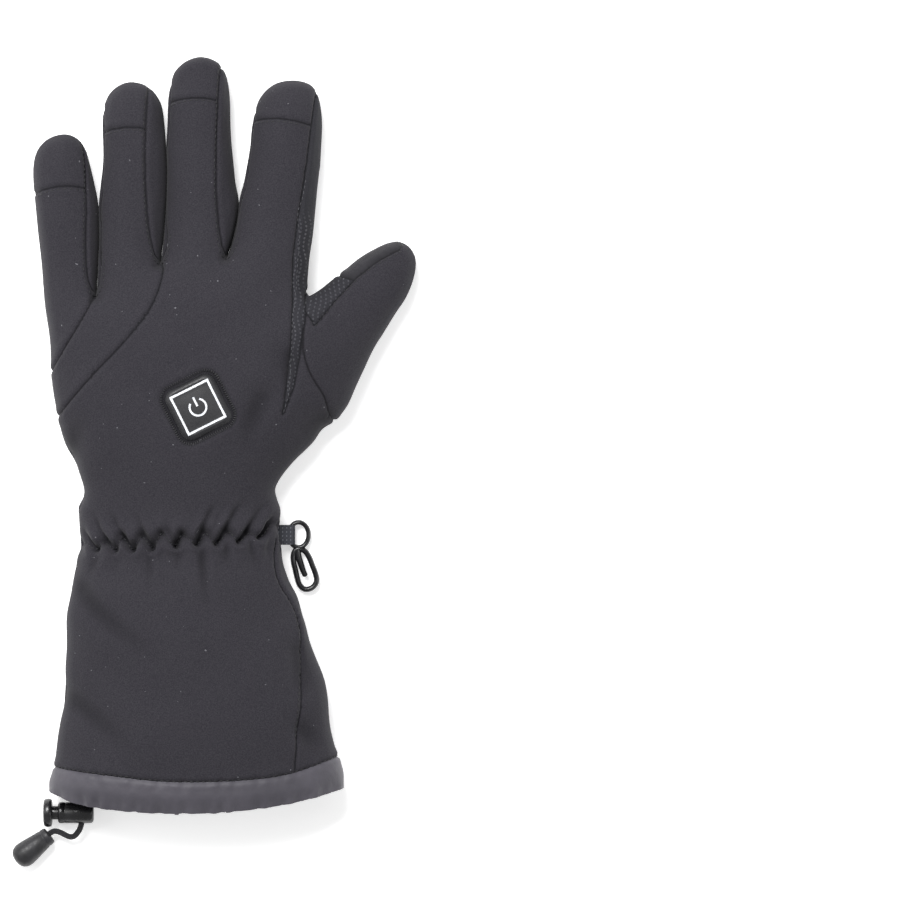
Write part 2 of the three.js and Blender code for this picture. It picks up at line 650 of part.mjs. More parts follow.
// Webbing: from the wrist's side seam round the hook's ring and back
const webbingHigh = hookLow + hookThickness + fit + webbingThickness;
const bandLeft = ringX - ringWidth / 2;
const foldRight = bandLeft + hookBand + webbingThickness + 2 * fit;
const foldCorner = 1;
const webbingRoot = bandLeft - 14;
const rootHigh = palmEdgeHeight + 3;
const webbingOutline = [[webbingRoot, rootHigh], [webbingRoot, rootHigh - 2 * webbingThickness],
  [bandLeft - 3 * foldCorner, fit], [foldRight - foldCorner, fit], [foldRight, fit + foldCorner],
  [foldRight, webbingHigh - foldCorner], [foldRight - foldCorner, webbingHigh],
  [bandLeft - foldCorner, webbingHigh]];
const insideLeft = bandLeft - fit;
const insideRight = foldRight - webbingThickness;
const insideLow = fit + webbingThickness;
const insideHigh = webbingHigh - webbingThickness;
const webbingWindow = [[insideLeft, insideLow], [insideRight, insideLow], [insideRight, insideHigh],
  [insideLeft, insideHigh]];

function uprightSheet(outline, hole, width) {
  const shape = new THREE.Shape(outline.map((p) => new THREE.Vector2(...p)));
  shape.holes.push(new THREE.Path(hole.map((p) => new THREE.Vector2(...p)).toReversed()));
  const geometry = new THREE.ExtrudeGeometry(shape, { depth: width, bevelEnabled: false });
  geometry.rotateX(Math.PI / 2);
  geometry.translate(0, width / 2, 0);
  return solid(geometry);
}

const webbing = uprightSheet(webbingOutline, webbingWindow, webbingWidth).translate([0, ringY, 0]);
const clearOfShell = body(bodyPoints, -seamGap);
addPiece("webbing_loop", webbing.subtract(clearOfShell), colours.webbing);

// Cord lock with its sprung button, lying on the floor below the hem's corner
const toggleX = -cuffWidth / 2 + 1;
const toggleY = -2.4;
const toggleZ = buttonDiameter / 2 + fit;
const barrelSides = 12;
const boreDiameter = cordDiameter + 2 * fit;
const stemDiameter = 5;
const stemLength = 5;

function turned(profile, sides) {
  const points = profile.map(([radius, along]) => new THREE.Vector2(radius, along));
  return solid(new THREE.LatheGeometry(points, sides));
}

const alongX = (manifold) => manifold.rotate([0, 0, -90]);
const round = (radius, from, to) => turned([[0, from], [radius, from], [radius, to], [0, to]], barrelSides);
const barrelEdge = 0.8;
const barrelRadius = barrelDiameter / 2;
const barrelSolid = turned([[0, 0], [barrelRadius - barrelEdge, 0], [barrelRadius, barrelEdge],
  [barrelRadius, barrelLength - barrelEdge], [barrelRadius - barrelEdge, barrelLength], [0, barrelLength]],
  barrelSides);
const wellDepth = stemLength + plungerTravel / 2;
const well = round(stemDiameter / 2 + fit, -cutMargin, wellDepth);
const cordPlace = barrelLength * 0.66;
const crossBore = round(boreDiameter / 2, -barrelDiameter, barrelDiameter).rotate([0, 0, 90])
  .translate([0, cordPlace, 0]);
const lockPlace = (manifold) => alongX(manifold).translate([toggleX, toggleY, toggleZ]);
addPiece("cord_lock", lockPlace(barrelSolid.subtract(well).subtract(crossBore)), colours.plastic, 0.4);

const buttonRadius = buttonDiameter / 2;
const headRows = [[0, 1], [0.55, 1], [0.9, 0.6], [1, 0.3], [1, 0], [0, 0]];
const plungerHead = turned(headRows.map(([radius, thickness]) =>
  [radius * buttonRadius, -plungerTravel - thickness * buttonThickness]), barrelSides);
const stem = round(stemDiameter / 2, -plungerTravel - seamOverlap, stemLength - plungerTravel);
const plunger = plungerHead.add(stem);
addPiece("cord_lock_button", lockPlace(plunger), colours.plastic, 0.35);

// Cord end, a bell moulded on the cord
const bellTurn = 128;
const bellX = toggleX - 3.6;
const bellY = toggleY - 9.3;
const bellZ = bellDiameter / 2 + fit;
const bellEdge = 0.6;
const cordInBell = 5;
const cordBeforeBell = 2.5;
const bellRadius = bellDiameter / 2;
const bellProfile = [[0, 0], [bellNeck / 2 - bellEdge, 0], [bellNeck / 2, bellEdge],
  [bellRadius, bellLength - bellRadius], [bellRadius * 0.87, bellLength - bellRadius * 0.5],
  [bellRadius * 0.5, bellLength - bellRadius * 0.13], [0, bellLength]];
const bellBore = round(boreDiameter / 2, cutMargin, cordInBell + fit);
const bell = turned(bellProfile, barrelSides).subtract(bellBore)
  .rotate([0, 0, bellTurn]).translate([bellX, bellY, bellZ]);

// Drawcord: out of the hem, through the lock and into the cord end
const bellWay = THREE.MathUtils.degToRad(bellTurn + 90);
const bellDirection = new THREE.Vector3(Math.cos(bellWay), Math.sin(bellWay), 0);
const bellMouth = new THREE.Vector3(bellX, bellY, bellZ);
const boreX = toggleX + cordPlace;
const cordOffsets = [[0, 12.6, 7.2], [0, 11.2, 3.4], [0, 8.6, 0.9], [0, 5, 0], [0, 0, 0], [0, -4, 0],
  [-1.4, -7.9, -0.2], [-4.6, -10.2, -0.4]];
const cordRoute = [
  ...cordOffsets.map(([x, y, z]) => new THREE.Vector3(boreX + x, toggleY + y, toggleZ + z)),
  bellMouth.clone().addScaledVector(bellDirection, -cordBeforeBell),
  bellMouth.clone().addScaledVector(bellDirection, cordInBell),
];
const cordCurve = new THREE.CatmullRomCurve3(cordRoute, false, "centripetal");
const cordSides = 8;
const cordSteps = 16;

function alongCord(diameter) {
  const section = new THREE.Shape(Array.from({ length: cordSides }, (_, i) => {
    const angle = (2 * Math.PI * i) / cordSides;
    return new THREE.Vector2(Math.cos(angle), Math.sin(angle)).multiplyScalar(diameter / 2);
  }));
  return solid(new THREE.ExtrudeGeometry(section, {
    steps: cordSteps, extrudePath: cordCurve, bevelEnabled: false,
  }));
}

addPiece("drawcord", alongCord(cordDiameter), colours.webbing);
addPiece("cord_end", bell.subtract(alongCord(boreDiameter)), colours.plastic, 0.45);
const hem = shell.intersect(prism(hemOutline, cellar, ceiling, -halfGap));
addPiece("hem_band", hem.subtract(alongCord(boreDiameter)), colours.lining);

// The origin goes to the middle of the glove's own footprint, without what hangs on the cord
const onCord = ["drawcord", "cord_lock", "cord_lock_button", "cord_end"];
const footprint = new THREE.Box3();
for (const mesh of glove.children.filter(({ name }) => !onCord.includes(name))) {
  footprint.expandByObject(mesh);
}
const middle = footprint.getCenter(new THREE.Vector3());
glove.position.set(-middle.x, -middle.y, -footprint.min.z);

export default glove;
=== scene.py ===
import math

import bpy
import numpy as np
import openvdb
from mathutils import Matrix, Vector
from mathutils.bvhtree import BVHTree
from mathutils.kdtree import KDTree


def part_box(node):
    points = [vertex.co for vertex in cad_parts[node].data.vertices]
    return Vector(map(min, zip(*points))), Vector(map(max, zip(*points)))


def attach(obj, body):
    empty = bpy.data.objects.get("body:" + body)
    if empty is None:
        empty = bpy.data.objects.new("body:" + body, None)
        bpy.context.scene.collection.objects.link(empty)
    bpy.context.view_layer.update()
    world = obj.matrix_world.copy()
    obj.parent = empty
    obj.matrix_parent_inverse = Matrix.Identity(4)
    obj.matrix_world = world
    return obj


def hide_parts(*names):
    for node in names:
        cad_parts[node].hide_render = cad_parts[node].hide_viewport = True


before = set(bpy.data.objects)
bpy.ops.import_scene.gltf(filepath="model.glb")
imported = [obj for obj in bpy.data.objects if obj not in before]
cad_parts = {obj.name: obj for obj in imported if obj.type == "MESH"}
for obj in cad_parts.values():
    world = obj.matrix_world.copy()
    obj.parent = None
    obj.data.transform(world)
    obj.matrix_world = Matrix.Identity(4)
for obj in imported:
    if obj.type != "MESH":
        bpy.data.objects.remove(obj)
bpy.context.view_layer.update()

# Camera, floor and light
# The camera looks straight down from far off, and the glove lies in the left half of its view, on a lit white
# sheet. The glove's plan is in millimetres, and places in the back view are turned into it here.
MM = 0.001
PIXEL = 0.42
HEM_X, HEM_Y = -12.63, -157.5
HEM_ROW = 808
BACK_COLUMN = 197.5
VIEW_SIZE = 900
LENS, SENSOR = 300, 36
GLOVE_MIDDLE = 15


def back_view(px, py):
    """A place in the back view, in the model's millimetres."""
    return ((px - BACK_COLUMN) * PIXEL + HEM_X, (HEM_ROW - py) * PIXEL + HEM_Y)


def back_line(*places):
    return [back_view(*place) for place in places]


def in_scene(name, data):
    thing = bpy.data.objects.new(name, data)
    bpy.context.collection.objects.link(thing)
    return thing


camera = bpy.data.cameras.new("camera")
camera.lens = LENS
camera.sensor_width = SENSOR
camera.clip_end = 20
camera_object = in_scene("camera", camera)
view_x, view_y = back_view(VIEW_SIZE / 2, VIEW_SIZE / 2)
view_height = GLOVE_MIDDLE + VIEW_SIZE * PIXEL * LENS / SENSOR
camera_object.location = (view_x * MM, view_y * MM, view_height * MM)
bpy.context.scene.camera = camera_object
bpy.context.scene.view_settings.view_transform = "Standard"

floor_mesh = bpy.data.meshes.new("floor")
floor_mesh.from_pydata([(-4, -4, 0), (4, -4, 0), (4, 4, 0), (-4, 4, 0)], [], [(0, 1, 2, 3)])
floor = in_scene("floor", floor_mesh)
paper = bpy.data.materials.new("white_paper")
paper.use_nodes = True
paper_shader = paper.node_tree.nodes["Principled BSDF"]
paper_shader.inputs["Base Color"].default_value = (0.95, 0.95, 0.95, 1)
paper_shader.inputs["Roughness"].default_value = 0.9
paper_shader.inputs["Emission Color"].default_value = (1, 1, 1, 1)
paper_shader.inputs["Emission Strength"].default_value = 0.5
floor_mesh.materials.append(paper)

world = bpy.data.worlds.new("studio")
world.use_nodes = True
world.node_tree.nodes["Background"].inputs["Color"].default_value = (1, 1, 1, 1)
world.node_tree.nodes["Background"].inputs["Strength"].default_value = 0.42
bpy.context.scene.world = world


def softbox(name, place, size, watts):
    light = bpy.data.lights.new(name, "AREA")
    light.shape = "RECTANGLE"
    light.size, light.size_y = size
    light.energy = watts
    box = in_scene(name, light)
    box.location = place
    box.rotation_euler = (Vector((view_x * MM, 0, 0)) - Vector(place)).to_track_quat("-Z", "Y").to_euler()


softbox("top_softbox", (-0.3, 0.6, 1.2), (0.7, 0.5), 21)
softbox("left_softbox", (-1.1, 0.1, 0.8), (0.5, 0.9), 3)
softbox("right_softbox", (1.2, -0.1, 0.8), (0.5, 0.9), 3)


# Drawcord
# A round braided elastic cord, 2.4 mm thick. It comes out of an eyelet in the hem, runs down to the floor,
# through the cord lock and into the cord end. The route is the source's, in metres.
def new_material(name, colour, roughness):
    material = bpy.data.materials.new(name)
    material.use_nodes = True
    shader = material.node_tree.nodes["Principled BSDF"]
    shader.inputs["Base Color"].default_value = (*colour, 1)
    shader.inputs["Roughness"].default_value = roughness
    return material, shader, Nodes(material)


class Nodes:
    """Short calls for a material's node tree."""

    def __init__(self, material):
        self.tree = material.node_tree
        self.place = self.add("ShaderNodeTexCoord").outputs["Object"]

    def add(self, kind, **settings):
        node = self.tree.nodes.new(kind)
        for key, value in settings.items():
            setattr(node, key, value)
        return node

    def link(self, a, b):
        self.tree.links.new(a, b)

    def math(self, operation, a, b=None, c=None):
        node = self.add("ShaderNodeMath", operation=operation)
        for socket, value in zip(node.inputs, (a, b, c)):
            if isinstance(value, (int, float)):
                socket.default_value = value
            elif value is not None:
                self.link(value, socket)
        return node.outputs[0]

    def noise(self, scale, detail=2.0, roughness=0.5, place=None):
        node = self.add("ShaderNodeTexNoise")
        node.inputs["Scale"].default_value = scale
        node.inputs["Detail"].default_value = detail
        node.inputs["Roughness"].default_value = roughness
        self.link(place or self.place, node.inputs["Vector"])
        return node.outputs["Fac"]

    def ramp(self, value, low, high, low_out=0.0, high_out=1.0):
        node = self.add("ShaderNodeMapRange", interpolation_type="SMOOTHSTEP")
        self.link(value, node.inputs["Value"])
        for key, number in (("From Min", low), ("From Max", high), ("To Min", low_out), ("To Max", high_out)):
            node.inputs[key].default_value = number
        return node.outputs["Result"]

    def mix(self, share, a, b):
        node = self.add("ShaderNodeMix", data_type="RGBA")
        self.link(share, node.inputs["Factor"])
        for socket, value in ((node.inputs["A"], a), (node.inputs["B"], b)):
            if isinstance(value, tuple):
                socket.default_value = (*value, 1)
            else:
                self.link(value, socket)
        return node.outputs["Result"]

    def two_tone(self, shader, value, low, high, dark, light):
        """Colours the shader from dark to light as the value goes from low to high."""
        self.link(self.mix(self.ramp(value, low, high), dark, light), shader.inputs["Base Color"])

    def bump(self, height, strength, distance, shader, below=None):
        node = self.add("ShaderNodeBump")
        node.inputs["Strength"].default_value = strength
        node.inputs["Distance"].default_value = distance
        self.link(height, node.inputs["Height"])
        if below:
            self.link(below, node.inputs["Normal"])
        if shader:
            self.link(node.outputs["Normal"], shader.inputs["Normal"])
        return node.outputs["Normal"]


def smooth_line(points, steps, closed=False):
    """A Catmull-Rom line through points, as an array."""
    points = np.array(points, float)
    count = len(points)
    stretches = count if closed else count - 1
    found = []
    for i in range(stretches):
        if closed:
            a, b, c, d = (points[(i + k) % count] for k in (-1, 0, 1, 2))
        else:
            a, b, c, d = (points[min(max(i + k, 0), count - 1)] for k in (-1, 0, 1, 2))
        for t in np.arange(steps) / steps:
            found.append(0.5 * (2 * b + (c - a) * t + (2 * a - 5 * b + 4 * c - d) * t * t
                                + (3 * b - a - 3 * c + d) * t ** 3))
    if not closed:
        found.append(points[-1])
    return np.array(found)


def new_piece(name, vertices, polygons, material, body="glove", sharp=40):
    """A piece from corners in millimetres, shaded smooth but for edges sharper than an angle."""
    mesh = bpy.data.meshes.new(name)
    mesh.from_pydata((np.asarray(vertices) * MM).tolist(), [], polygons)
    mesh.polygons.foreach_set("use_smooth", [True] * len(mesh.polygons))
    mesh.set_sharp_from_angle(angle=math.radians(sharp))
    mesh.materials.append(material)
    piece = in_scene(name, mesh)
    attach(piece, body)
    return piece


def bar(name, path, radius, material, body="glove", sides=20, closed=False, side=None, along=None,
        squash=1.0, square=1.0, sharp=40):
    """A bar along a path in millimetres. Its radius may change, and its section may be squashed or squared.
    Its UVs go once round it, and along it in millimetres."""
    path = np.array(path, float)
    count = len(path)
    radius = np.broadcast_to(np.asarray(radius, float), (count,))
    if along is None:
        if closed:
            ways = np.roll(path, -1, axis=0) - np.roll(path, 1, axis=0)
        else:
            ways = np.gradient(path, axis=0)
        ways /= np.linalg.norm(ways, axis=1, keepdims=True)
    else:
        ways = np.tile(np.array(along, float), (count, 1))
    side = np.array(side if side is not None else (0.0, 0.0, 1.0), float)
    angles = np.arange(sides) / sides * 2 * math.pi
    cos = np.sign(np.cos(angles)) * np.abs(np.cos(angles)) ** square
    sin = np.sign(np.sin(angles)) * np.abs(np.sin(angles)) ** square
    rings = []
    for centre, way, size in zip(path, ways, radius):
        side = side - way * side.dot(way)
        side /= np.linalg.norm(side)
        lift = np.cross(way, side)
        rings.append(centre + size * (cos[:, None] * side + squash * sin[:, None] * lift))
    polygons, uvs = [], []
    travelled = np.concatenate([[0], np.cumsum(np.linalg.norm(np.diff(path, axis=0), axis=1)), [0]])
    for i in range(count if closed else count - 1):
        j = (i + 1) % count
        for k in range(sides):
            m = (k + 1) % sides
            polygons.append([i * sides + k, i * sides + m, j * sides + m, j * sides + k])
            here, there = travelled[i], travelled[i + 1] if i + 1 < count else travelled[i] + 1
            uvs += [(k / sides, here), ((k + 1) / sides, here), ((k + 1) / sides, there), (k / sides, there)]
    if not closed:
        last = (count - 1) * sides
        polygons += [list(range(sides))[::-1], list(range(last, last + sides))]
        uvs += [(0.5, 0.0)] * (2 * sides)
    piece = new_piece(name, np.vstack(rings), polygons, material, body, sharp)
    layer = piece.data.uv_layers.new(name="along")
    layer.data.foreach_set("uv", np.array(uvs, float).ravel())
    return piece


cord_route = [(-0.0617, -0.1473, 0.0135), (-0.0617, -0.1487, 0.0097), (-0.0617, -0.1513, 0.0072),
              (-0.0617, -0.1549, 0.0063), (-0.0617, -0.1599, 0.0063), (-0.0617, -0.1639, 0.0063),
              (-0.0631, -0.1678, 0.0061), (-0.0663, -0.1701, 0.0059), (-0.0733, -0.1677, 0.0056),
              (-0.0792, -0.1723, 0.0056)]
CORD_THICK = 2.4
cord_path = smooth_line(np.array(cord_route) / MM, 8)

braid, shader, n = new_material("braided_cord", (0.02, 0.02, 0.023), 0.75)
along_cord = n.add("ShaderNodeSeparateXYZ")
n.link(n.add("ShaderNodeTexCoord").outputs["UV"], along_cord.inputs[0])
FULL_TURN = 6.2832
PLAITS_ROUND, PLAITS_ALONG = 6, 5.0
round_cord = n.math("MULTIPLY", along_cord.outputs["X"], PLAITS_ROUND * FULL_TURN)
down_cord = n.math("MULTIPLY", along_cord.outputs["Y"], PLAITS_ALONG)
plait = n.math("MULTIPLY", n.math("SINE", n.math("ADD", round_cord, down_cord)),
               n.math("SINE", n.math("SUBTRACT", round_cord, down_cord)))
n.two_tone(shader, plait, -0.3, 0.5, (0.012, 0.012, 0.014), (0.04, 0.04, 0.045))
n.bump(plait, 0.7, 0.0004, shader)
drawcord = bar("drawcord_braid", cord_path, CORD_THICK / 2, braid, side=(1, 0, 0), sides=16)
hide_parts("drawcord")

# Cord lock
# A barrel of glossy black nylon with a hole across it for the cord. A sprung button fills one end, and its
# plunger grips the cord. It lies on the floor below the hem's corner.
black_plastic, shader, n = new_material("black_plastic", (0.011, 0.011, 0.012), 0.3)
n.two_tone(shader, n.noise(260, 3), 0.35, 0.75, (0.0085, 0.0085, 0.0095), (0.016, 0.016, 0.018))
n.link(n.ramp(n.noise(500, 4, 0.7), 0.3, 0.8, 0.22, 0.4), shader.inputs["Roughness"])
n.bump(n.noise(900, 3), 0.12, 0.0002, shader)
shader.inputs["Specular IOR Level"].default_value = 0.6

LOCK_START = np.array((-71.63, -159.9, 6.3))
BORE_X, BORE_Z, BORE_RADIUS = -61.73, 6.3, 1.45


def turned(name, profile, start, way, material, body="glove"):
    """A turned piece. Its profile gives how far along the axis and how far from it, from pole to pole."""
    way = np.array(way, float)
    way /= np.linalg.norm(way)
    path = [start + way * t for t, _ in profile]
    return bar(name, path, [r for _, r in profile], material, body, sides=48, along=way,
               sharp=50)


barrel = turned("cord_lock_barrel", [
    (5.4, 0.02), (5.4, 3.05), (0.1, 3.05), (0, 3.3), (0, 3.6), (0.15, 4.0), (0.5, 4.33), (1.0, 4.48),
    (2.6, 4.5), (2.75, 4.36), (3.05, 4.36), (3.2, 4.5), (11.8, 4.5), (13.4, 4.46), (14.3, 4.25),
    (14.8, 3.75), (15, 3.0), (15.02, 1.4), (15.02, 0.02)], LOCK_START, (1, 0, 0), black_plastic)
bore = bar("bore_cutter", [(BORE_X, -166, BORE_Z), (BORE_X, -154, BORE_Z)], BORE_RADIUS, black_plastic,
           sides=24)
drilling = barrel.modifiers.new("bore", "BOOLEAN")
drilling.object = bore
drilling.solver = "EXACT"
drilled = bpy.data.meshes.new_from_object(barrel.evaluated_get(bpy.context.evaluated_depsgraph_get()))
barrel.modifiers.remove(drilling)
barrel.data = drilled
bpy.data.objects.remove(bore)
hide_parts("cord_lock")

button = turned("cord_lock_plunger", [
    (-5.62, 0.02), (-5.62, 2.2), (-5.78, 3.4), (-6.02, 4.4), (-6.08, 4.9), (-5.98, 5.3), (-5.6, 5.68),
    (-5.0, 5.92), (-4.3, 6.0), (-3.5, 5.98), (-2.85, 5.75), (-2.52, 5.2), (-2.5, 3.4), (-2.35, 2.9),
    (2.3, 2.85), (2.5, 2.6), (2.5, 0.02)], LOCK_START, (1, 0, 0), black_plastic, "cord_lock_button")
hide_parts("cord_lock_button")

# Cord end
# A matt bell of soft black plastic, moulded over the knotted end of the cord, with a thin line round it.
matt_plastic, shader, n = new_material("matt_plastic", (0.016, 0.016, 0.018), 0.5)
n.two_tone(shader, n.noise(180, 3), 0.3, 0.7, (0.013, 0.013, 0.0145), (0.021, 0.021, 0.024))
n.link(n.ramp(n.noise(700, 2), 0.3, 0.7, 0.42, 0.56), shader.inputs["Roughness"])
n.bump(n.noise(2600, 2), 0.25, 0.0001, shader)
CORD_END_START = np.array((-75.23, -169.2, 5.6))
CORD_END_WAY = (-0.788, -0.616, 0)
cord_end = turned("cord_end_bell", [
    (7, 0.02), (7, 1.4), (0.2, 1.4), (0, 1.7), (0, 3.1), (0.2, 3.55), (0.8, 3.8), (2.4, 3.9), (2.6, 3.74),
    (2.9, 3.74), (3.1, 3.95), (7, 4.5), (10.5, 5.0), (12.7, 5.26), (14.2, 5.2), (15.6, 4.8), (16.7, 4.05),
    (17.4, 3.1), (17.8, 2.0), (18, 0.9), (18.02, 0.02)], CORD_END_START, CORD_END_WAY, matt_plastic)
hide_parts("cord_end")

# Shape of the glove
# A padded softshell glove, sewn from flat panels and puffed up by its wadding. Its outline is what the back
# view shows, and it is thickest where it is widest. Fingers that touch keep a slit, which is closed later.
SLIT = 1.9
little_slit = [(98.2, 206), (98.8, 235), (98, 262), (96.5, 293)]
middle_slit = [(165.8, 150), (166.8, 172), (166, 202), (164, 232), (161, 261)]
index_slit = [(238.8, 202), (237, 220), (232.5, 240), (227.5, 256)]


def beside(slit, side):
    line = [(x + side * SLIT, y) for x, y in slit]
    return line if side < 0 else line[::-1]


outline = [
    (52, 870), (52, 790), (55, 770), (57, 735), (63, 700), (66, 660), (68, 620), (71, 600), (74, 570),
    (80, 548), (82, 530), (79.5, 512), (84.5, 497), (84, 483), (76.5, 462), (65, 443), (58, 416), (52, 385),
    (50.5, 345), (46, 310), (42, 275), (39, 240), (35.5, 206), (34, 180), (34.5, 163), (38, 150), (46, 140),
    (56, 134.5), (66, 133), (76, 136.5), (84.5, 146), (90, 163), (94.5, 186), *beside(little_slit, -1),
    *beside(little_slit, 1), (100.3, 186), (102, 160), (102, 126), (104, 106), (110, 93), (121, 84.5),
    (133, 82), (147, 86), (156.5, 96), (161.5, 108), (163.3, 128), *beside(middle_slit, -1),
    *beside(middle_slit, 1), (168, 126), (168, 98), (172, 76), (178, 66.5), (187, 60), (199, 57), (211, 59.5),
    (220, 66), (226, 78), (229, 95), (231, 125), (232.5, 150), (234.5, 176), *beside(index_slit, -1),
    *beside(index_slit, 1), (242.5, 188), (246, 168), (250, 146), (252, 126), (257, 105), (264, 93),
    (276, 83.5), (292, 80), (306, 82), (315, 89), (320, 105), (322, 126), (319.5, 155), (317, 186),
    (316, 206), (313.5, 235), (310.5, 256), (308.5, 275), (307, 289), (309, 297), (324, 286.5), (348, 267),
    (362, 256.5), (381, 246.5), (393, 242.3), (404, 243.5), (412, 250), (416, 262), (412.5, 279),
    (404.5, 297), (395, 312), (385, 330), (374, 350), (364, 370), (353, 390), (343, 409), (334, 420),
    (322, 429), (314.5, 441), (306, 450), (295, 460), (285, 471), (278, 481), (274.5, 490), (276.5, 500),
    (278, 510), (275.5, 528), (276.5, 541), (281, 555), (284, 567), (290, 582), (299, 597), (304, 618),
    (309, 640), (316, 660), (323, 680), (327, 700), (330, 722), (335, 742), (340, 760), (343, 780),
    (343, 790), (343, 870),
]
outline = smooth_line(back_line(*outline), 3, closed=True)

CELL = 0.85
grid_x = np.arange(-106, 84, CELL)
grid_y = np.arange(-184, 160, CELL)
plan_x, plan_y = np.meshgrid(grid_x, grid_y, indexing="ij")


def signed_distance(x, y, polygon):
    """How far points are inside a polygon, in mm: positive inside."""
    polygon = np.asarray(polygon, float)
    nearest = np.full(x.shape, 1e9)
    inside = np.zeros(x.shape, bool)
    for (ax, ay), (bx, by) in zip(polygon, np.roll(polygon, -1, axis=0)):
        ex, ey = bx - ax, by - ay
        length = ex * ex + ey * ey
        if length < 1e-12:
            continue
        t = np.clip(((x - ax) * ex + (y - ay) * ey) / length, 0, 1)
        nearest = np.minimum(nearest, (x - ax - t * ex) ** 2 + (y - ay - t * ey) ** 2)
        crosses = (ay > y) != (by > y)
        if by != ay:
            inside ^= crosses & (x < ax + (y - ay) * ex / ey)
    return np.where(inside, 1, -1) * np.sqrt(nearest)


def blurred(field, reach):
    """A field blurred over reach millimetres."""
    fx = np.fft.fftfreq(field.shape[0], CELL)[:, None]
    fy = np.fft.rfftfreq(field.shape[1], CELL)[None, :]
    return np.fft.irfft2(np.fft.rfft2(field) * np.exp(-2 * (np.pi * reach) ** 2 * (fx * fx + fy * fy)),
                         s=field.shape)


def eased(value, low, high):
    t = np.clip((value - low) / (high - low), 0, 1)
    return t * t * (3 - 2 * t)


PUFF_ROUNDS = 900
depth = signed_distance(plan_x, plan_y, outline)
inside = depth > 0
narrowing = np.interp(grid_y, [-170, -60, -20, 20, 70, 160], [20, 20, 17, 15, 12, 12])
spread = np.broadcast_to((CELL / narrowing) ** 2, depth.shape)
puff = np.where(inside, 1 - np.exp(-np.maximum(depth, 0) / narrowing), 0)
for _ in range(PUFF_ROUNDS):
    around = np.zeros_like(puff)
    around[1:-1, 1:-1] = puff[2:, 1:-1] + puff[:-2, 1:-1] + puff[1:-1, 2:] + puff[1:-1, :-2]
    puff = np.where(inside, (around + spread) / (4 + spread), 0)
slope = np.where(depth > 1.5 * CELL, puff / np.maximum(depth, CELL), 0)
known = (depth > 1.5 * CELL) & (depth < 4.5)
slope = blurred(slope * known, 2.0) / np.maximum(blurred(known * 1.0, 2.0), 1e-4)
slope = np.clip(slope, 0.02, 0.2)
puff = np.where(depth < 2, slope * depth, puff + (slope * depth - puff) * (1 - eased(depth, 2, 5)))

half_height = np.interp(grid_y, [-180, -150, -120, -85, -60, -46, -30, 0, 60, 160],
                        [22.5, 22.8, 22.8, 22, 19.5, 17.3, 18.2, 19.8, 19.8, 19.8])
rise = half_height * np.sqrt(np.maximum(puff, 0))
weight = rise ** 6 + 1e-9
middle_height = blurred(rise * weight, 8) / np.maximum(blurred(weight, 8), 1e-9) - 1.2
middle_height = np.clip(middle_height, 6, 24)

level_z = np.arange(-2.4, 46, CELL)
fullness = (half_height ** 2 * puff)[:, :, None] - (level_z[None, None, :] - middle_height[:, :, None]) ** 2
fullness = fullness / 24
over_floor = level_z[None, None, :] * 1.5 + np.zeros_like(fullness)
rounding = 1.2
blend_share = np.clip(0.5 + (over_floor - fullness) / (2 * rounding), 0, 1)
solid_field = (over_floor * (1 - blend_share) + fullness * blend_share
               - rounding * blend_share * (1 - blend_share))
FIELD_REACH = 8.0
volume = openvdb.FloatGrid(-FIELD_REACH)
volume.copyFromArray(np.clip(solid_field, -FIELD_REACH, FIELD_REACH).astype(np.float32))
shell_points, shell_faces = volume.convertToQuads(isovalue=0)
shell_points = np.array(shell_points, float) * CELL + np.array([grid_x[0], grid_y[0], level_z[0]])

# Panels
# The glove is sewn from flat panels of softshell, grip fabric and suede. Most seams are the source's: a
# finger's run beside its middle line, the others lie on the hand. Those between the fingers are read off the
# back view.
fingers = {
    "little": dict(across=-0.474, along=0.773, length=78.6, lean=2.8, width=25.2, cap=25.5, seam=0.73),
    "ring": dict(across=-0.255, along=0.798, length=96.7, lean=-1, width=26.4, cap=22, seam=0.54),
    "middle": dict(across=-0.009, along=0.798, length=107.2, lean=-1, width=26, cap=20, seam=0.63),
    "index": dict(across=0.241, along=0.798, length=98.9, lean=-7.5, width=29.5, cap=20.3, seam=0.72),
    "thumb": dict(across=0.268, along=0.487, length=88, lean=-42.7, width=28),
}
CROTCHES = (("little", "ring"), ("ring", "middle"), ("middle", "index"))
crotch_seams = {
    "little": [(81.8, 137.6), (85.5, 156.3), (87, 179.3), (86.7, 213.7), (86.1, 248.1), (87, 274),
               (90.4, 286.9), (94.7, 294), (99, 290.5), (102, 281), (103, 262)],
    "ring": [(147.8, 97.5), (146.4, 130.5), (145.8, 159.2), (147, 190.7), (149.3, 225.2), (153, 247),
             (156.2, 257.6), (160.5, 262.6), (165, 257.6), (167.6, 248), (168.6, 236)],
    "middle": [(220.8, 67.3), (219.6, 87.4), (218.7, 116.1), (217.6, 159.2), (217.3, 190.7), (218.7, 216.6),
               (220.4, 236.7), (222.4, 250), (226.4, 257.4), (231, 253), (234.6, 246), (237.5, 236)],
}
crotch_seams = {name: back_line(*line) for name, line in crotch_seams.items()}
PALM_EDGE = 9
PALM_COLUMN = 691.5
HAND_WIDE, HAND_LONG, HAND_LOW = 112, 119, 113
ELASTIC_Y = HAND_LOW + HEM_Y


def palm_view(px, py):
    """A place in the palm view, in the model's millimetres."""
    return ((PALM_COLUMN - px) * PIXEL + HEM_X, (HEM_ROW - py) * PIXEL + HEM_Y)


def palm_line(*places):
    return [palm_view(*place) for place in places]


def on_hand(across, along):
    """A place on the hand, as shares of its width and its length."""
    return (across * HAND_WIDE + HEM_X, HAND_LOW + along * HAND_LONG + HEM_Y)


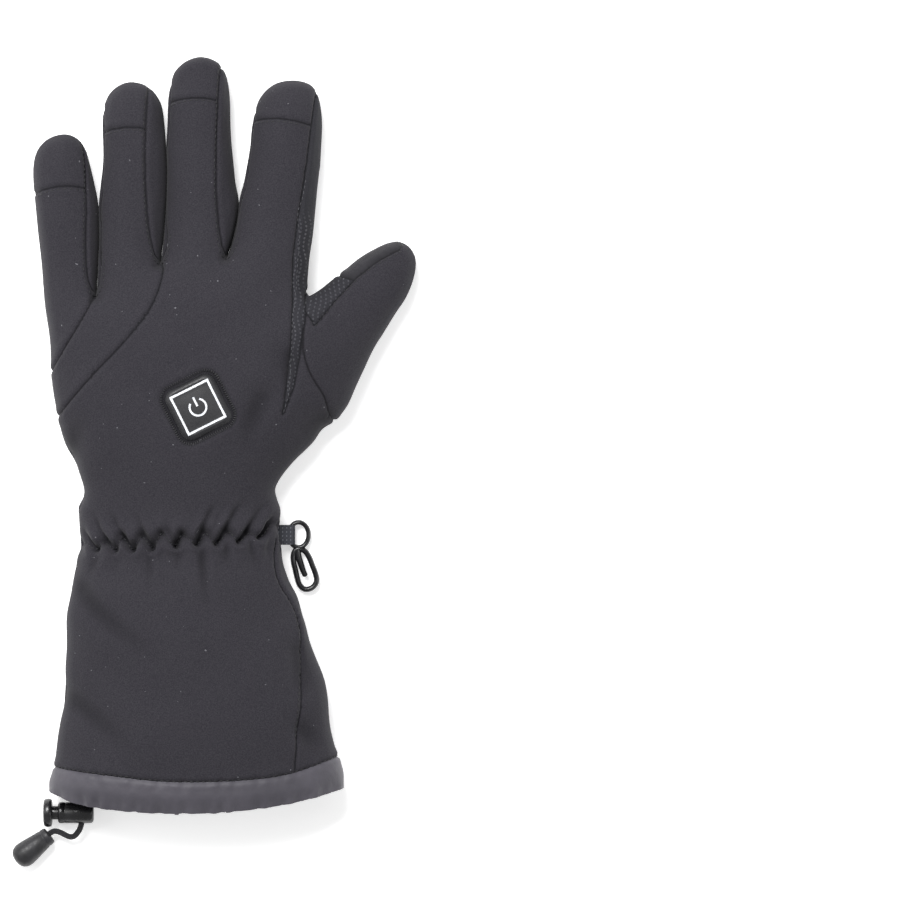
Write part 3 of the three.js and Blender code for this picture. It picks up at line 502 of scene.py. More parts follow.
def on_finger(name, side, along):
    """A place on a finger: side is across it, along is from its root, both in millimetres."""
    finger = fingers[name]
    lean = math.radians(finger["lean"])
    x, y = on_hand(finger["across"], finger["along"])
    return (x - math.sin(lean) * along + math.cos(lean) * side,
            y + math.cos(lean) * along + math.sin(lean) * side)


def finger_tip(name, stretch, arch):
    wide = fingers[name]["width"] / 2 + 2
    length = fingers[name]["length"]
    start = length - stretch
    arc = [on_finger(name, side * wide, start + arch * (1 - side * side))
           for side in (-1, -0.6, -0.2, 0.2, 0.6, 1)]
    return [*arc, on_finger(name, wide, length + wide), on_finger(name, -wide, length + wide)]


def gusset(left, right):
    """The strip between two fingers: down the left one's seam, round the crotch and up the right one."""
    right_seam = -0.93 * fingers[right]["width"] / 2
    deep = crotch_seams[left][-1][1] - on_finger(right, 0, 0)[1]
    return [on_finger(left, fingers[left]["seam"] * fingers[left]["width"] / 2, fingers[left]["length"] + 15),
            *smooth_line(crotch_seams[left], 3), on_finger(right, right_seam, deep + 16),
            on_finger(right, right_seam, fingers[right]["length"] + 15)]


def hand_line(*points):
    return [on_hand(*p) for p in points]


little_seam = back_line((104, 262), (99.5, 284), (95, 296), (83, 319), (57, 362), (20, 423))
ring_seam = back_line((168.5, 240), (164, 262), (163.3, 277), (158, 296), (149, 314), (134, 333),
                      (118, 351), (95, 374.5), (60, 414), (20, 459))
thumb_back_seam = smooth_line(hand_line((0.572, 0.363), (0.508, 0.423), (0.474, 0.505), (0.422, 0.589),
                                        (0.399, 0.692), (0.418, 0.843)), 4)
wrap_seam = hand_line((0.324, 0.434), (0.351, 0.635), (0.358, 0.787))
thumb_palm_seam = smooth_line(hand_line((0.13, 0.235), (0.089, 0.294), (0.071, 0.412), (0.089, 0.529),
                                        (0.156, 0.634), (0.232, 0.689), (0.321, 0.748), (0.418, 0.843)), 4)
grip_seam = smooth_line(hand_line((1, 1.04), (0.737, 0.824), (0.589, 0.727), (0.393, 0.546), (0.25, 0.42),
                                  (0.13, 0.235)), 4)
heel_seam = smooth_line(hand_line((0.13, 0.235), (0.204, 0.143), (0.261, 0.097), (0.328, 0.081),
                                  (0.8, 0.076)), 3)
palm_seam = smooth_line(hand_line((-0.8, 0.076), (-0.305, 0.092), (-0.145, 0.118), (-0.032, 0.155),
                                  (0.13, 0.235)), 3)
over_crotch = on_finger("thumb", -20, 61.6)
above_thumb = on_finger("thumb", -28, 116)
below_thumb = on_finger("thumb", 56, 116)
index_side = fingers["index"]["seam"] * fingers["index"]["width"] / 2

regions = {
    "upper": {
        **{f"fourchette_{a}_{b}": gusset(a, b) for a, b in CROTCHES},
        "thumb_tip_wrap": back_line((354.5, 280), (356, 278), (377, 262), (399, 250), (408, 236),
                                    (380, 232), (330, 262), (338.7, 275.5)),
        "thumb_wrap": back_line((316, 326), (336, 300), (356, 278), (362, 262), (330, 262),
                                (306, 292), (306, 312)),
        "thumb_back_panel": [*thumb_back_seam, over_crotch, above_thumb, below_thumb, on_hand(1.1, 0.363)],
        "palm_wrap": [*wrap_seam, on_finger("index", index_side, 25), on_finger("index", index_side, 114),
                      on_finger("index", 59, 114), on_finger("index", 59, 49),
                      *back_line((316, 300), (304, 330), (300.5, 360), (295, 388))],
        **{f"cap_{name}": finger_tip(name, fingers[name]["cap"], 3)
           for name in ("little", "ring", "middle", "index")},
        "back_little_panel": [*smooth_line(little_seam, 4), on_hand(-0.9, 2), on_finger("ring", -14.2, 112)],
        "back_ring_strip": [*smooth_line(ring_seam, 4), *[(x - 1, y) for x, y in little_seam[::-1]],
                            on_finger("ring", -26, 112), on_finger("ring", 13.2, 112)],
    },
    "lower": {
        "touch_patch_thumb": finger_tip("thumb", 35, 0),
        "thumb_grip_panel": [*thumb_palm_seam, over_crotch, above_thumb, *grip_seam[:-1]],
        "thumb_heel": [*grip_seam[:-1], *heel_seam, below_thumb],
        "touch_patch_index": finger_tip("index", 33, 0),
        "palm_panel": [*palm_seam, *thumb_palm_seam[1:], on_hand(0.9, 0.843), on_hand(0.9, 2),
                       on_hand(-0.9, 2)],
    },
}
# Lines across the cuff: the hem's edge and its stitch line, and the cuff's side seams
hem_edge = smooth_line(back_line((20, 780), (53, 792), (80, 802), (129, 809), (201, 811.5),
                                 (258, 807), (300, 800), (342, 788), (380, 770)), 6)
hem_stitch = smooth_line(back_line((20, 757), (57, 767), (121, 774.5), (172, 779.5), (230, 779),
                                   (287, 773), (339, 756), (380, 740)), 6)
thumb_side_seam = smooth_line(back_line((274, 530), (278, 576), (296, 608), (303, 651),
                                        (301, 708), (298.5, 735), (296, 780), (294, 830)), 5)
little_side_seam = smooth_line(palm_line((792, 530), (794, 570), (809, 628), (814, 683),
                                         (819, 737), (821, 790), (822, 830)), 5)


def height_of(line, x):
    order = np.argsort(line[:, 0])
    return np.interp(x, line[order, 0], line[order, 1])


def across_at(line, y):
    order = np.argsort(line[:, 1])
    return np.interp(y, line[order, 1], line[order, 0])


def plan_height(field, points):
    """A field of the plan, read at points."""
    u = np.clip((points[:, 0] - grid_x[0]) / CELL, 0, len(grid_x) - 1.001)
    v = np.clip((points[:, 1] - grid_y[0]) / CELL, 0, len(grid_y) - 1.001)
    i, j = u.astype(int), v.astype(int)
    fu, fv = u - i, v - j
    return ((field[i, j] * (1 - fu) + field[i + 1, j] * fu) * (1 - fv)
            + (field[i, j + 1] * (1 - fu) + field[i + 1, j + 1] * fu) * fv)


# Every seam cuts the faces it crosses, so that panels meet in clean lines
WIDEST_FACE = 9
faces = np.full((len(shell_faces), WIDEST_FACE), -1)
faces[:, :4] = np.asarray(shell_faces)[:, 3::-1]
faces[:, 4:] = faces[:, 3:4]
points = shell_points


def cut_along(points, faces, values, closest=0.12):
    """Cuts faces where values change sign. A face's corners are padded with its last one."""
    values = np.where(np.abs(values) < closest, 0.0, values)
    at = values[faces]
    crossed = np.nonzero((at.min(axis=1) < 0) & (at.max(axis=1) > 0))[0]
    new_points, new_rows, made = [], [], {}
    for row in crossed:
        corners = list(dict.fromkeys(faces[row].tolist()))
        below, above = [], []
        for k, a in enumerate(corners):
            b = corners[(k + 1) % len(corners)]
            va, vb = values[a], values[b]
            if va <= 0:
                below.append(a)
            if va >= 0:
                above.append(a)
            if va * vb < 0:
                key = (min(a, b), max(a, b))
                if key not in made:
                    made[key] = len(points) + len(new_points)
                    low, high = key
                    share = values[low] / (values[low] - values[high])
                    new_points.append(points[low] + share * (points[high] - points[low]))
                below.append(made[key])
                above.append(made[key])
        pieces = [side for side in (below, above) if len(side) > 2]
        for k, side in enumerate(pieces):
            side = side[:WIDEST_FACE]
            padded = side + [side[-1]] * (WIDEST_FACE - len(side))
            if k == 0:
                faces[row] = padded
            else:
                new_rows.append(padded)
    if new_points:
        points = np.vstack([points, new_points])
    if new_rows:
        faces = np.vstack([faces, new_rows])
    return points, faces


def middle_of(points, faces):
    return points[faces].mean(axis=1)


ON_LEVEL = 0.05
FAR = 50.0


def cut_region(points, faces, polygon, upper):
    """Cuts the hand's upper or lower side along a polygon."""
    values = signed_distance(points[:, 0], points[:, 1], polygon)
    level = points[:, 2] - PALM_EDGE
    away = (level < -ON_LEVEL) if upper else (level > ON_LEVEL)
    hand = points[:, 1] > ELASTIC_Y - ON_LEVEL
    return cut_along(points, faces, np.where(away | ~hand, FAR, values))


def cut_side_seam(points, faces, line, over):
    """Cuts the cuff's upper or lower side along a side seam."""
    below_elastic = points[:, 1] < ELASTIC_Y + ON_LEVEL
    middle = plan_height(middle_height, points)
    on_side = (points[:, 2] > middle - ON_LEVEL) if over else (points[:, 2] < middle + ON_LEVEL)
    return cut_along(points, faces, np.where(
        below_elastic & on_side, points[:, 0] - across_at(line, points[:, 1]), FAR))


points, faces = cut_along(points, faces, points[:, 1] - height_of(hem_edge, points[:, 0]))
keep = middle_of(points, faces)[:, 1] > height_of(hem_edge, middle_of(points, faces)[:, 0])
faces = faces[keep]
points, faces = cut_along(points, faces, points[:, 1] - ELASTIC_Y)
points, faces = cut_along(points, faces, points[:, 1] - height_of(hem_stitch, points[:, 0]))
hand_part = points[:, 1] > ELASTIC_Y
cuff_level = np.where(hand_part, points[:, 2] - PALM_EDGE, points[:, 2] - plan_height(middle_height, points))
points, faces = cut_along(points, faces, cuff_level)
for level_name, upper in (("upper", True), ("lower", False)):
    for polygon in regions[level_name].values():
        points, faces = cut_region(points, faces, polygon, upper)
points, faces = cut_side_seam(points, faces, thumb_side_seam, True)
points, faces = cut_side_seam(points, faces, little_side_seam, False)

used, packed = np.unique(faces, return_inverse=True)
faces = packed.reshape(faces.shape)
points = points[used]
centres = middle_of(points, faces)
label_names = ["wrist_strip", "cuff_back", "cuff_palm", "hem_band", "back_panel", *regions["upper"],
               *regions["lower"]]
labels = np.full(len(faces), label_names.index("wrist_strip"))
in_hand = centres[:, 1] > ELASTIC_Y
upper_face = in_hand & (centres[:, 2] > PALM_EDGE)
labels[upper_face] = label_names.index("back_panel")
for level_name, free in (("upper", upper_face.copy()), ("lower", in_hand & ~upper_face)):
    for name, polygon in regions[level_name].items():
        hit = free & (signed_distance(centres[:, 0], centres[:, 1], polygon) > 0)
        labels[hit] = label_names.index(name)
        free &= ~hit
over = centres[:, 2] > plan_height(middle_height, centres)
on_palm = np.where(over, centres[:, 0] > across_at(thumb_side_seam, centres[:, 1]),
                   centres[:, 0] > across_at(little_side_seam, centres[:, 1]))
labels[~in_hand] = np.where(on_palm, label_names.index("cuff_palm"), label_names.index("cuff_back"))[~in_hand]
labels[centres[:, 1] < height_of(hem_stitch, centres[:, 0])] = label_names.index("hem_band")
for part, whole in (("palm_wrap", "palm_panel"), ("thumb_heel", "thumb_back_panel"),
                    ("thumb_wrap", "thumb_grip_panel"), ("thumb_tip_wrap", "touch_patch_thumb")):
    labels[labels == label_names.index(part)] = label_names.index(whole)

# Relief of the cloth
# Touching fingers close up, the elastic gathers the wrist into sharp folds that fan out, seams sink in and
# the cloth beside them stands up, the hem is puckered by its cord, and the wadding leaves soft dents.
in_slit = np.zeros(len(points))
for slit in (little_slit, middle_slit, index_slit):
    line = smooth_line(back_line(*slit), 4)
    aside = points[:, 0] - across_at(line, points[:, 1])
    gap = SLIT * PIXEL
    window = (eased(points[:, 1], line[:, 1].min() - 4, line[:, 1].min())
              * (1 - eased(points[:, 1], line[:, 1].max() - 2, line[:, 1].max() + 9)))
    pull = (gap + 0.06) * np.exp(-((np.abs(aside) - gap) / 4.5) ** 2) * window
    in_slit = np.maximum(in_slit, np.exp(-(np.maximum(np.abs(aside) - gap, 0) / 1.3) ** 2) * window)
    points[:, 0] -= np.sign(aside) * pull


def corner_normals(points, faces):
    normals = np.zeros_like(points)
    total = np.zeros((len(faces), 3))
    for k in range(1, WIDEST_FACE - 1):
        total += np.cross(points[faces[:, k]] - points[faces[:, 0]],
                          points[faces[:, k + 1]] - points[faces[:, 0]])
    for k in range(WIDEST_FACE):
        fresh = np.ones(len(faces), bool) if k == 0 else faces[:, k] != faces[:, k - 1]
        np.add.at(normals, faces[fresh, k], total[fresh])
    return normals / np.maximum(np.linalg.norm(normals, axis=1, keepdims=True), 1e-12)


def evened(values, edges, rounds):
    """Values of the corners, each averaged with its neighbours'."""
    for _ in range(rounds):
        total = values.copy()
        np.add.at(total, edges[:, 0], values[edges[:, 1]])
        np.add.at(total, edges[:, 1], values[edges[:, 0]])
        values = total / np.maximum(np.linalg.norm(total, axis=1, keepdims=True), 1e-12)
    return values


def face_edges(faces):
    edges, owners = [], []
    for k in range(WIDEST_FACE):
        a = faces[:, k]
        b = faces[:, (k + 1) % WIDEST_FACE]
        real = a != b
        edges.append(np.stack([np.minimum(a, b), np.maximum(a, b)], axis=1)[real])
        owners.append(np.nonzero(real)[0])
    return np.vstack(edges), np.concatenate(owners)


edges, owners = face_edges(faces)
order = np.lexsort((edges[:, 1], edges[:, 0]))
edges, owners = edges[order], owners[order]
same = (edges[1:] == edges[:-1]).all(axis=1)
differs = labels[owners[1:]] != labels[owners[:-1]]
seam_edges = edges[1:][same & differs]
edges = np.unique(edges, axis=0)
seam_middle = points[seam_edges].mean(axis=1)
seam_edges = seam_edges[np.abs(seam_middle[:, 1] - ELASTIC_Y) > 0.3]
seam_tree = KDTree(3 * len(seam_edges))
for k, (a, b) in enumerate(points[seam_edges]):
    for j, share in enumerate((0.0, 0.35, 0.7)):
        seam_tree.insert(a + share * (b - a), 3 * k + j)
seam_tree.balance()
to_seam = np.array([seam_tree.find(p)[2] for p in points])

inward = evened(corner_normals(points, faces), edges, 6)
x, y, z = points.T
upward = inward[:, 2]
from_elastic = y - ELASTIC_Y
FOLD_REACH = 40


def crease(line, deep, wide, where, shoulder=0.35):
    """A sharp fold along a line of the plan, deepest at its start and fading out, with raised sides."""
    line = smooth_line(line, 4)
    steps = np.linalg.norm(np.diff(line, axis=0), axis=1)
    along = np.concatenate([[0], np.cumsum(steps)]) / steps.sum()
    near = ((np.abs(x - line[:, 0].mean()) < FOLD_REACH)
            & (np.abs(y - line[:, 1].mean()) < FOLD_REACH) & where)
    found = np.zeros(len(points))
    best = np.full(near.sum(), 1e9)
    part = np.zeros(near.sum())
    px, py = x[near], y[near]
    for k in range(len(line) - 1):
        (ax, ay), (bx, by) = line[k], line[k + 1]
        ex, ey = bx - ax, by - ay
        t = np.clip(((px - ax) * ex + (py - ay) * ey) / (ex * ex + ey * ey), 0, 1)
        away = np.hypot(px - ax - t * ex, py - ay - t * ey)
        closer = away < best
        best = np.where(closer, away, best)
        part = np.where(closer, along[k] + t * (along[k + 1] - along[k]), part)
    fade = 1 - eased(part, 0.15, 1)
    found[near] = fade * deep * (-np.exp(-(best / wide) ** 2)
                                 + shoulder * np.exp(-((best - 2.3 * wide) / (1.3 * wide)) ** 2))
    return found


# The elastic's seam goes up and down over the gathers, and each fold starts at one of its turns.
BACK_TURNS = [(86, 543), (97, 549), (105, 542), (116, 549), (123.5, 537.5), (134.5, 549), (142.7, 536),
              (154, 547), (163, 533), (175.7, 545), (183.7, 534.5), (198, 543.5), (206.7, 533),
              (217.5, 543.5), (229.6, 532), (239.7, 541.5), (249.7, 533), (260, 537.5), (270, 525)]
PALM_TURNS = [(589, 532), (600, 524), (612, 536), (622, 527), (633, 522), (644, 538), (655, 525), (674, 539),
              (684, 527), (695, 540), (703, 528), (712, 538), (724, 525), (737, 537), (747, 524), (757, 532),
              (768, 522), (779, 530), (790, 520)]
back_elastic = back_line(*BACK_TURNS)
palm_elastic = palm_line(*PALM_TURNS)
over, under = upward > 0, upward <= 0
folds = np.zeros(len(points))
for line, where in ((back_elastic, over), (palm_elastic, under)):
    for k in range(len(line) - 1):
        turn = crease([line[k], line[k + 1]], 1.1, 1.0, where & (np.abs(from_elastic) < 12), 0.0)
        folds = np.minimum(folds, turn)
BACK_FOLDS_UP = [((97, 549), (88, 535), (83, 520)), ((116, 549), (104, 533), (97, 519), (92, 508)),
                 ((134.5, 549), (119, 527), (110, 508)), ((154, 547), (142, 526), (136, 507)),
                 ((175.7, 545), (170, 529), (167, 513)), ((198, 543.5), (204, 528), (214, 508), (222, 500)),
                 ((217.5, 543.5), (228, 526), (243, 502), (248, 494)),
                 ((239.7, 541.5), (250, 526), (268, 500)), ((260, 537.5), (270, 520), (277, 506)),
                 ((178, 546), (181, 534), (184, 524))]
BACK_FOLDS_DOWN = [((105, 542), (98, 560), (88, 585)), ((123.5, 537.5), (118, 556), (116, 578)),
                   ((142.7, 536), (132, 553), (126, 566)), ((163, 533), (152, 551), (151, 598)),
                   ((183.7, 534.5), (180, 556), (181, 575)),
                   ((206.7, 533), (204, 553), (208, 596), (212, 622)),
                   ((229.6, 532), (228, 550), (231, 572)), ((249.7, 533), (255, 555), (262, 575)),
                   ((270, 525), (268, 548), (276, 570))]
PALM_FOLDS = [((612, 536), (606, 518), (601, 505)), ((644, 538), (640, 515), (636, 500)),
              ((674, 539), (673, 520), (668, 500)), ((695, 540), (697, 520), (700, 506)),
              ((712, 538), (717, 520), (724, 508)), ((737, 537), (743, 518), (750, 505)),
              ((757, 532), (765, 514), (772, 503)), ((622, 527), (618, 550), (612, 580)),
              ((655, 525), (652, 550), (650, 590)), ((684, 527), (684, 552), (690, 585)),
              ((703, 528), (706, 556), (708, 600)), ((724, 525), (728, 548), (726, 575)),
              ((747, 524), (750, 545), (757, 572)), ((768, 522), (766, 540), (768, 556))]
for pattern, line_of, where, deep, wide, shoulder in (
        (BACK_FOLDS_UP, back_line, over, 2.2, 1.15, 0.5), (BACK_FOLDS_DOWN, back_line, over, 1.3, 1.7, 0.45),
        (PALM_FOLDS, palm_line, under, 1.1, 1.5, 0.4)):
    for fold in pattern:
        folds += crease(line_of(*fold), deep, wide, where, shoulder)
elastic_height = np.where(over, height_of(np.array(back_elastic), x), height_of(np.array(palm_elastic), x))
from_seam = y - elastic_height
elastic = -0.8 * np.exp(-(from_seam / 1.6) ** 2) + 0.7 * np.exp(-((np.abs(from_seam) - 5.5) / 3.5) ** 2)

# The zip's line, in the palm view
ZIP_PIXELS = ((772.5, 557), (778.5, 583), (783, 607), (787, 650), (788, 693), (792, 743))

# Broad soft folds of the cuff and the hand
BROAD_FOLDS = [((84, 590), (100, 610), (135, 640), (170, 668)),
               ((60, 690), (95, 715), (130, 745), (150, 765)), ((75, 545), (74, 575), (85, 600)),
               ((304, 728), (313, 740), (321, 752)), ((300, 650), (303, 690), (299, 728)),
               ((70, 455), (76, 430), (84, 405)), ((262, 400), (250, 430), (247, 460)),
               ((291, 359), (286, 390), (284, 416)), ((330, 418), (316, 428), (300, 445))]
broad_folds = np.zeros(len(points))
for fold in BROAD_FOLDS:
    broad_folds += crease(back_line(*fold), 1.3, 4.5, over, 0.5)
# Painted shade: the cloth's colour is darkened along the folds, standing in for the shade that falls in them.
painted_cavity_shade = np.clip(-folds / 2.2, 0, 0.9) + np.clip(-broad_folds / 2.6, 0, 0.5)
gathers = (folds + broad_folds) * (0.4 + 0.6 * np.abs(upward))

dents = (0.32 * np.sin(x / 8.3 + 1.2 + 0.8 * np.sin(y / 17)) * np.sin(y / 12.1 + 0.7)
         + 0.22 * np.sin((x + 0.7 * y) / 9.7 + 2.2)
         + 0.18 * np.sin((x - 0.6 * y) / 6.1 + 0.4) * np.sin(y / 7.7))
seams = -0.8 * np.exp(-(to_seam / 0.6) ** 2) + 0.22 * np.exp(-((to_seam - 2.2) / 1.6) ** 2)

# The switch's hole: a rounded square, round which the cloth is turned in
PAD_CENTRE = np.array(back_view(199.8, 407.5))
PAD_HALF = 11.8
PAD_ROUND = 4.6
PAD_TURN = math.radians(26.5)
pad_x = np.array((math.cos(PAD_TURN), math.sin(PAD_TURN)))
pad_y = np.array((-math.sin(PAD_TURN), math.cos(PAD_TURN)))
pad_u = np.abs((points[:, :2] - PAD_CENTRE) @ pad_x) - (PAD_HALF - PAD_ROUND)
pad_v = np.abs((points[:, :2] - PAD_CENTRE) @ pad_y) - (PAD_HALF - PAD_ROUND)
from_pad = (np.hypot(np.maximum(pad_u, 0), np.maximum(pad_v, 0))
            + np.minimum(np.maximum(pad_u, pad_v), 0) - PAD_ROUND)
pad_ring = np.exp(-((from_pad - 0.7) / 1.3) ** 2) * over
# Painted shade in the ring of cloth turned in round the switch's hole.
painted_cavity_shade = np.maximum(painted_cavity_shade, 0.85 * np.exp(-((from_pad - 0.6) / 1.1) ** 2) * over)

from_stitch = y - height_of(hem_stitch, x)
pucker = np.sin(x / 1.35 + 1.5 * np.sin(x / 9)) * 0.6 + np.sin(x / 0.83 + 0.7) * 0.4
channel = (0.9 * np.exp(-((from_stitch + 6.5) / 4.2) ** 2) * (from_stitch < 0)
           + 0.32 * pucker * np.exp(-((from_stitch + 0.5) / 3.0) ** 2)
           + 0.75 * pucker * np.exp(-((from_stitch + 12.5) / 3.2) ** 2) * (from_stitch < 0))
cuff_share = eased(-from_elastic, 10, 25)
soft_folds = cuff_share * (0.7 * np.sin(y / 15 + x / 40 + 0.5) * np.exp(-((x + 60) / 30) ** 2)
                           + 0.5 * np.sin((y - 0.5 * x) / 11))

relief = (gathers + elastic + dents + seams + channel + soft_folds - 0.9 * pad_ring) * (1 - in_slit)
on_floor = eased(-upward, 0.75, 0.98) * (1 - eased(z, 0.3, 2.0))
relief = np.where(on_floor > 0, np.minimum(relief, 0) * on_floor + relief * (1 - on_floor), relief)
points = points + inward * relief[:, None]
zip_plan = smooth_line(palm_line(*ZIP_PIXELS), 8)
from_zip = np.min(np.hypot(x[:, None] - zip_plan[::4, 0], y[:, None] - zip_plan[::4, 1]), axis=1)
points[:, 2] = np.maximum(points[:, 2], 0.3 + 1.9 * (1 - eased(from_zip, 6, 13)) * under)
normals = corner_normals(points, faces)
strays = (normals * inward).sum(axis=1) < 0.35
normals[strays] = inward[strays]

# The grip print covers the palm side. It stops half way up the index finger's side, and on steep cloth.
grip_print = np.where(z < PALM_EDGE + 0.5, 1.0, 1 - eased(y, 84, 98)) * eased(np.abs(inward[:, 2]), 0.2, 0.5)

# Panels as pieces of cloth
# Each panel is a closed layer of cloth with its own thickness and rim, sewn edge to edge with its neighbours.
# Its shading runs on over the seams.
CLOTH = 1.1
shell_tree = BVHTree.FromPolygons([Vector(p) for p in points.tolist()],
                                  [list(dict.fromkeys(row)) for row in faces.tolist()])


def cloth_piece(name, chosen, outer=0.0, thickness=CLOTH):
    """A layer of cloth under the chosen faces, closed round its rim. Its shading runs on over the seams."""
    rows = faces[chosen]
    used, packed = np.unique(rows, return_inverse=True)
    rows = packed.reshape(rows.shape)
    count = len(used)
    top = points[used] - inward[used] * outer
    under = points[used] - inward[used] * (outer + thickness)
    under[:, 2] = np.maximum(under[:, 2], 0.02 + thickness * 0.5)
    polygons = [list(dict.fromkeys(row)) for row in rows.tolist()]
    below = [[corner + count for corner in reversed(row)] for row in polygons]
    directed = {}
    for row in polygons:
        for a, b in zip(row, row[1:] + row[:1]):
            directed[(a, b)] = True
    rim = [[b, a, a + count, b + count] for a, b in directed if (b, a) not in directed]
    mesh = bpy.data.meshes.new(name)
    mesh.from_pydata((np.vstack([top, under]) * MM).tolist(), [], polygons + below + rim)
    mesh.polygons.foreach_set("use_smooth", [True] * len(mesh.polygons))
    for attribute, values in (("to_seam", to_seam), ("painted_cavity_shade", painted_cavity_shade), ("grip_print", grip_print)):
        mesh.attributes.new(attribute, "FLOAT", "POINT").data.foreach_set("value", np.tile(values[used], 2))
    mesh.normals_split_custom_set_from_vertices(np.vstack([normals[used], -normals[used]]).tolist())
    piece = in_scene(name, mesh)
    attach(piece, "glove")
    return piece


# Softshell
# A matt polyester softshell: a tight plain face with a faint heather and a little lint, on wadding. It makes
# the back of the hand, the strips between the fingers and the cuff.
softshell, shader, n = new_material("softshell", (0.034, 0.032, 0.039), 0.9)


def seam_shadow(n, colour):
    """Paints shade into the cloth's colour: darker in a seam's groove and in a fold, where shade falls."""
    seam = n.add("ShaderNodeAttribute", attribute_name="to_seam").outputs["Fac"]
    fold = n.add("ShaderNodeAttribute", attribute_name="painted_cavity_shade").outputs["Fac"]
    painted_shade_share = n.math("MAXIMUM", n.ramp(seam, 0.05, 0.7, 0.75, 0.0), n.math("MULTIPLY", fold, 0.85))
    # The near-black colour of the painted shade.
    return n.mix(painted_shade_share, colour, (0.006, 0.006, 0.0075))


fine = n.noise(1900, 2, 0.6)
heather = n.mix(n.ramp(fine, 0.35, 0.65), (0.0215, 0.02, 0.0258), (0.035, 0.033, 0.0395))
broad = n.mix(n.ramp(n.noise(55, 3), 0.3, 0.7), (0.0255, 0.0238, 0.0298), (0.031, 0.029, 0.0355))
streaks = n.add("ShaderNodeMapping")
streaks.inputs["Scale"].default_value = (900, 120, 300)
n.link(n.place, streaks.inputs["Vector"])
weft = n.ramp(n.noise(1.0, 2, 0.6, streaks.outputs["Vector"]), 0.3, 0.7)
shade = n.mix(n.math("MULTIPLY", weft, 0.4), heather, broad)
lint = n.ramp(n.noise(700, 0), 0.86, 0.88)
shade = n.mix(n.math("MULTIPLY", lint, 0.45), shade, (0.25, 0.25, 0.27))
# Painted shade in seams and folds is mixed into the softshell's colour.
n.link(seam_shadow(n, shade), shader.inputs["Base Color"])
n.bump(n.noise(2300, 2), 0.3, 0.0002, shader)
shader.inputs["Sheen Weight"].default_value = 0.06
shader.inputs["Sheen Roughness"].default_value = 0.5
shader.inputs["Specular IOR Level"].default_value = 0.18

# Grip fabric
# The same cloth for the palm side, with rows of small grip dots printed on it. Each column of dots sways from
# side to side.
grip_fabric, shader, n = new_material("grip_fabric", (0.028, 0.028, 0.033), 0.85)
split = n.add("ShaderNodeSeparateXYZ")
n.link(n.place, split.inputs[0])
sway = n.math("MULTIPLY", n.math("SINE", n.math("MULTIPLY", split.outputs["Y"], 420.0)), 0.0006)
column = n.math("DIVIDE", n.math("ADD", split.outputs["X"], sway), 0.0021)
odd = n.math("MULTIPLY", n.math("FLOORED_MODULO", n.math("FLOOR", column), 2.0), 0.5)
row = n.math("ADD", n.math("DIVIDE", split.outputs["Y"], 0.0017), odd)
dx = n.math("SUBTRACT", n.math("FRACT", column), 0.5)
dy = n.math("SUBTRACT", n.math("FRACT", row), 0.5)
far_from_dot = n.math("SQRT", n.math("ADD", n.math("MULTIPLY", n.math("MULTIPLY", dx, dx), 2.6),
                                     n.math("MULTIPLY", dy, dy)))
printed = n.add("ShaderNodeAttribute", attribute_name="grip_print").outputs["Fac"]
dot = n.math("MULTIPLY", n.ramp(far_from_dot, 0.24, 0.34, 1.0, 0.0), printed)
fine = n.noise(2600, 2)
ground = n.mix(n.ramp(fine, 0.3, 0.7), (0.019, 0.019, 0.023), (0.03, 0.029, 0.035))
# Painted shade in seams and folds is mixed into the grip fabric's colour.
n.link(seam_shadow(n, n.mix(dot, ground, (0.05, 0.05, 0.059))), shader.inputs["Base Color"])
below = n.bump(fine, 0.3, 0.0002, None)
n.bump(dot, 0.6, 0.0003, shader, below)
n.link(n.ramp(dot, 0, 1, 0.85, 0.5), shader.inputs["Roughness"])
shader.inputs["Specular IOR Level"].default_value = 0.22

# Suede
# Touch patches of thin conductive suede with a short soft nap, sewn in at the tips of the index finger and
# the thumb.
suede, shader, n = new_material("suede", (0.034, 0.034, 0.038), 0.95)
nap = n.noise(3800, 3, 0.7)
shade = n.mix(n.ramp(n.noise(160, 4), 0.3, 0.7), (0.0168, 0.0162, 0.0198), (0.0245, 0.0232, 0.0282))
# Painted shade in seams and folds is mixed into the suede's colour.
n.link(seam_shadow(n, shade), shader.inputs["Base Color"])
n.bump(nap, 0.5, 0.0002, shader)
shader.inputs["Sheen Weight"].default_value = 0.12
shader.inputs["Sheen Roughness"].default_value = 0.35

# Hem nylon
# The hem is a thin nylon tube round the cord, lighter than the cuff and with a little more sheen. It is
# stitched to the cuff along its upper edge.
hem_nylon, shader, n = new_material("hem_nylon", (0.10, 0.095, 0.115), 0.6)
crinkle = n.noise(300, 3, 0.5)
n.two_tone(shader, n.noise(70, 3), 0.3, 0.7, (0.049, 0.0455, 0.0575), (0.066, 0.061, 0.076))
fine = n.bump(n.noise(3000, 1), 0.25, 0.0001, None)
n.bump(crinkle, 0.35, 0.0006, shader, fine)
shader.inputs["Sheen Weight"].default_value = 0.1

panel_finish = {"palm_panel": (grip_fabric, "grip_fabric"), "thumb_grip_panel": (grip_fabric, "grip_fabric"),
                "touch_patch_thumb": (suede, "suede"), "touch_patch_index": (suede, "suede"),
                "hem_band": (hem_nylon, "hem_nylon")}
for i, name in enumerate(label_names):
    chosen = labels == i
    if not chosen.any():
        continue
    piece = cloth_piece(name + "_cloth", chosen, thickness=1.6 if name == "hem_band" else CLOTH)
    finish, record_slot = panel_finish.get(name, (softshell, "softshell"))
    piece.data.materials.append(finish)
    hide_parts(name)

# Lining
# A thin smooth lining inside the cuff and wrist, seen only through the hem. It lies against the softshell's
# inner side.
lining_cloth, shader, n = new_material("lining_cloth", (0.02, 0.02, 0.023), 0.7)
n.bump(n.noise(700, 3), 0.4, 0.0005, shader)
chosen = (centres[:, 1] < ELASTIC_Y + 20) & (centres[:, 1] > height_of(hem_edge, centres[:, 0]) + 3)
lining = cloth_piece("cuff_lining", chosen, outer=1.7, thickness=0.6)
lining.data.materials.append(lining_cloth)

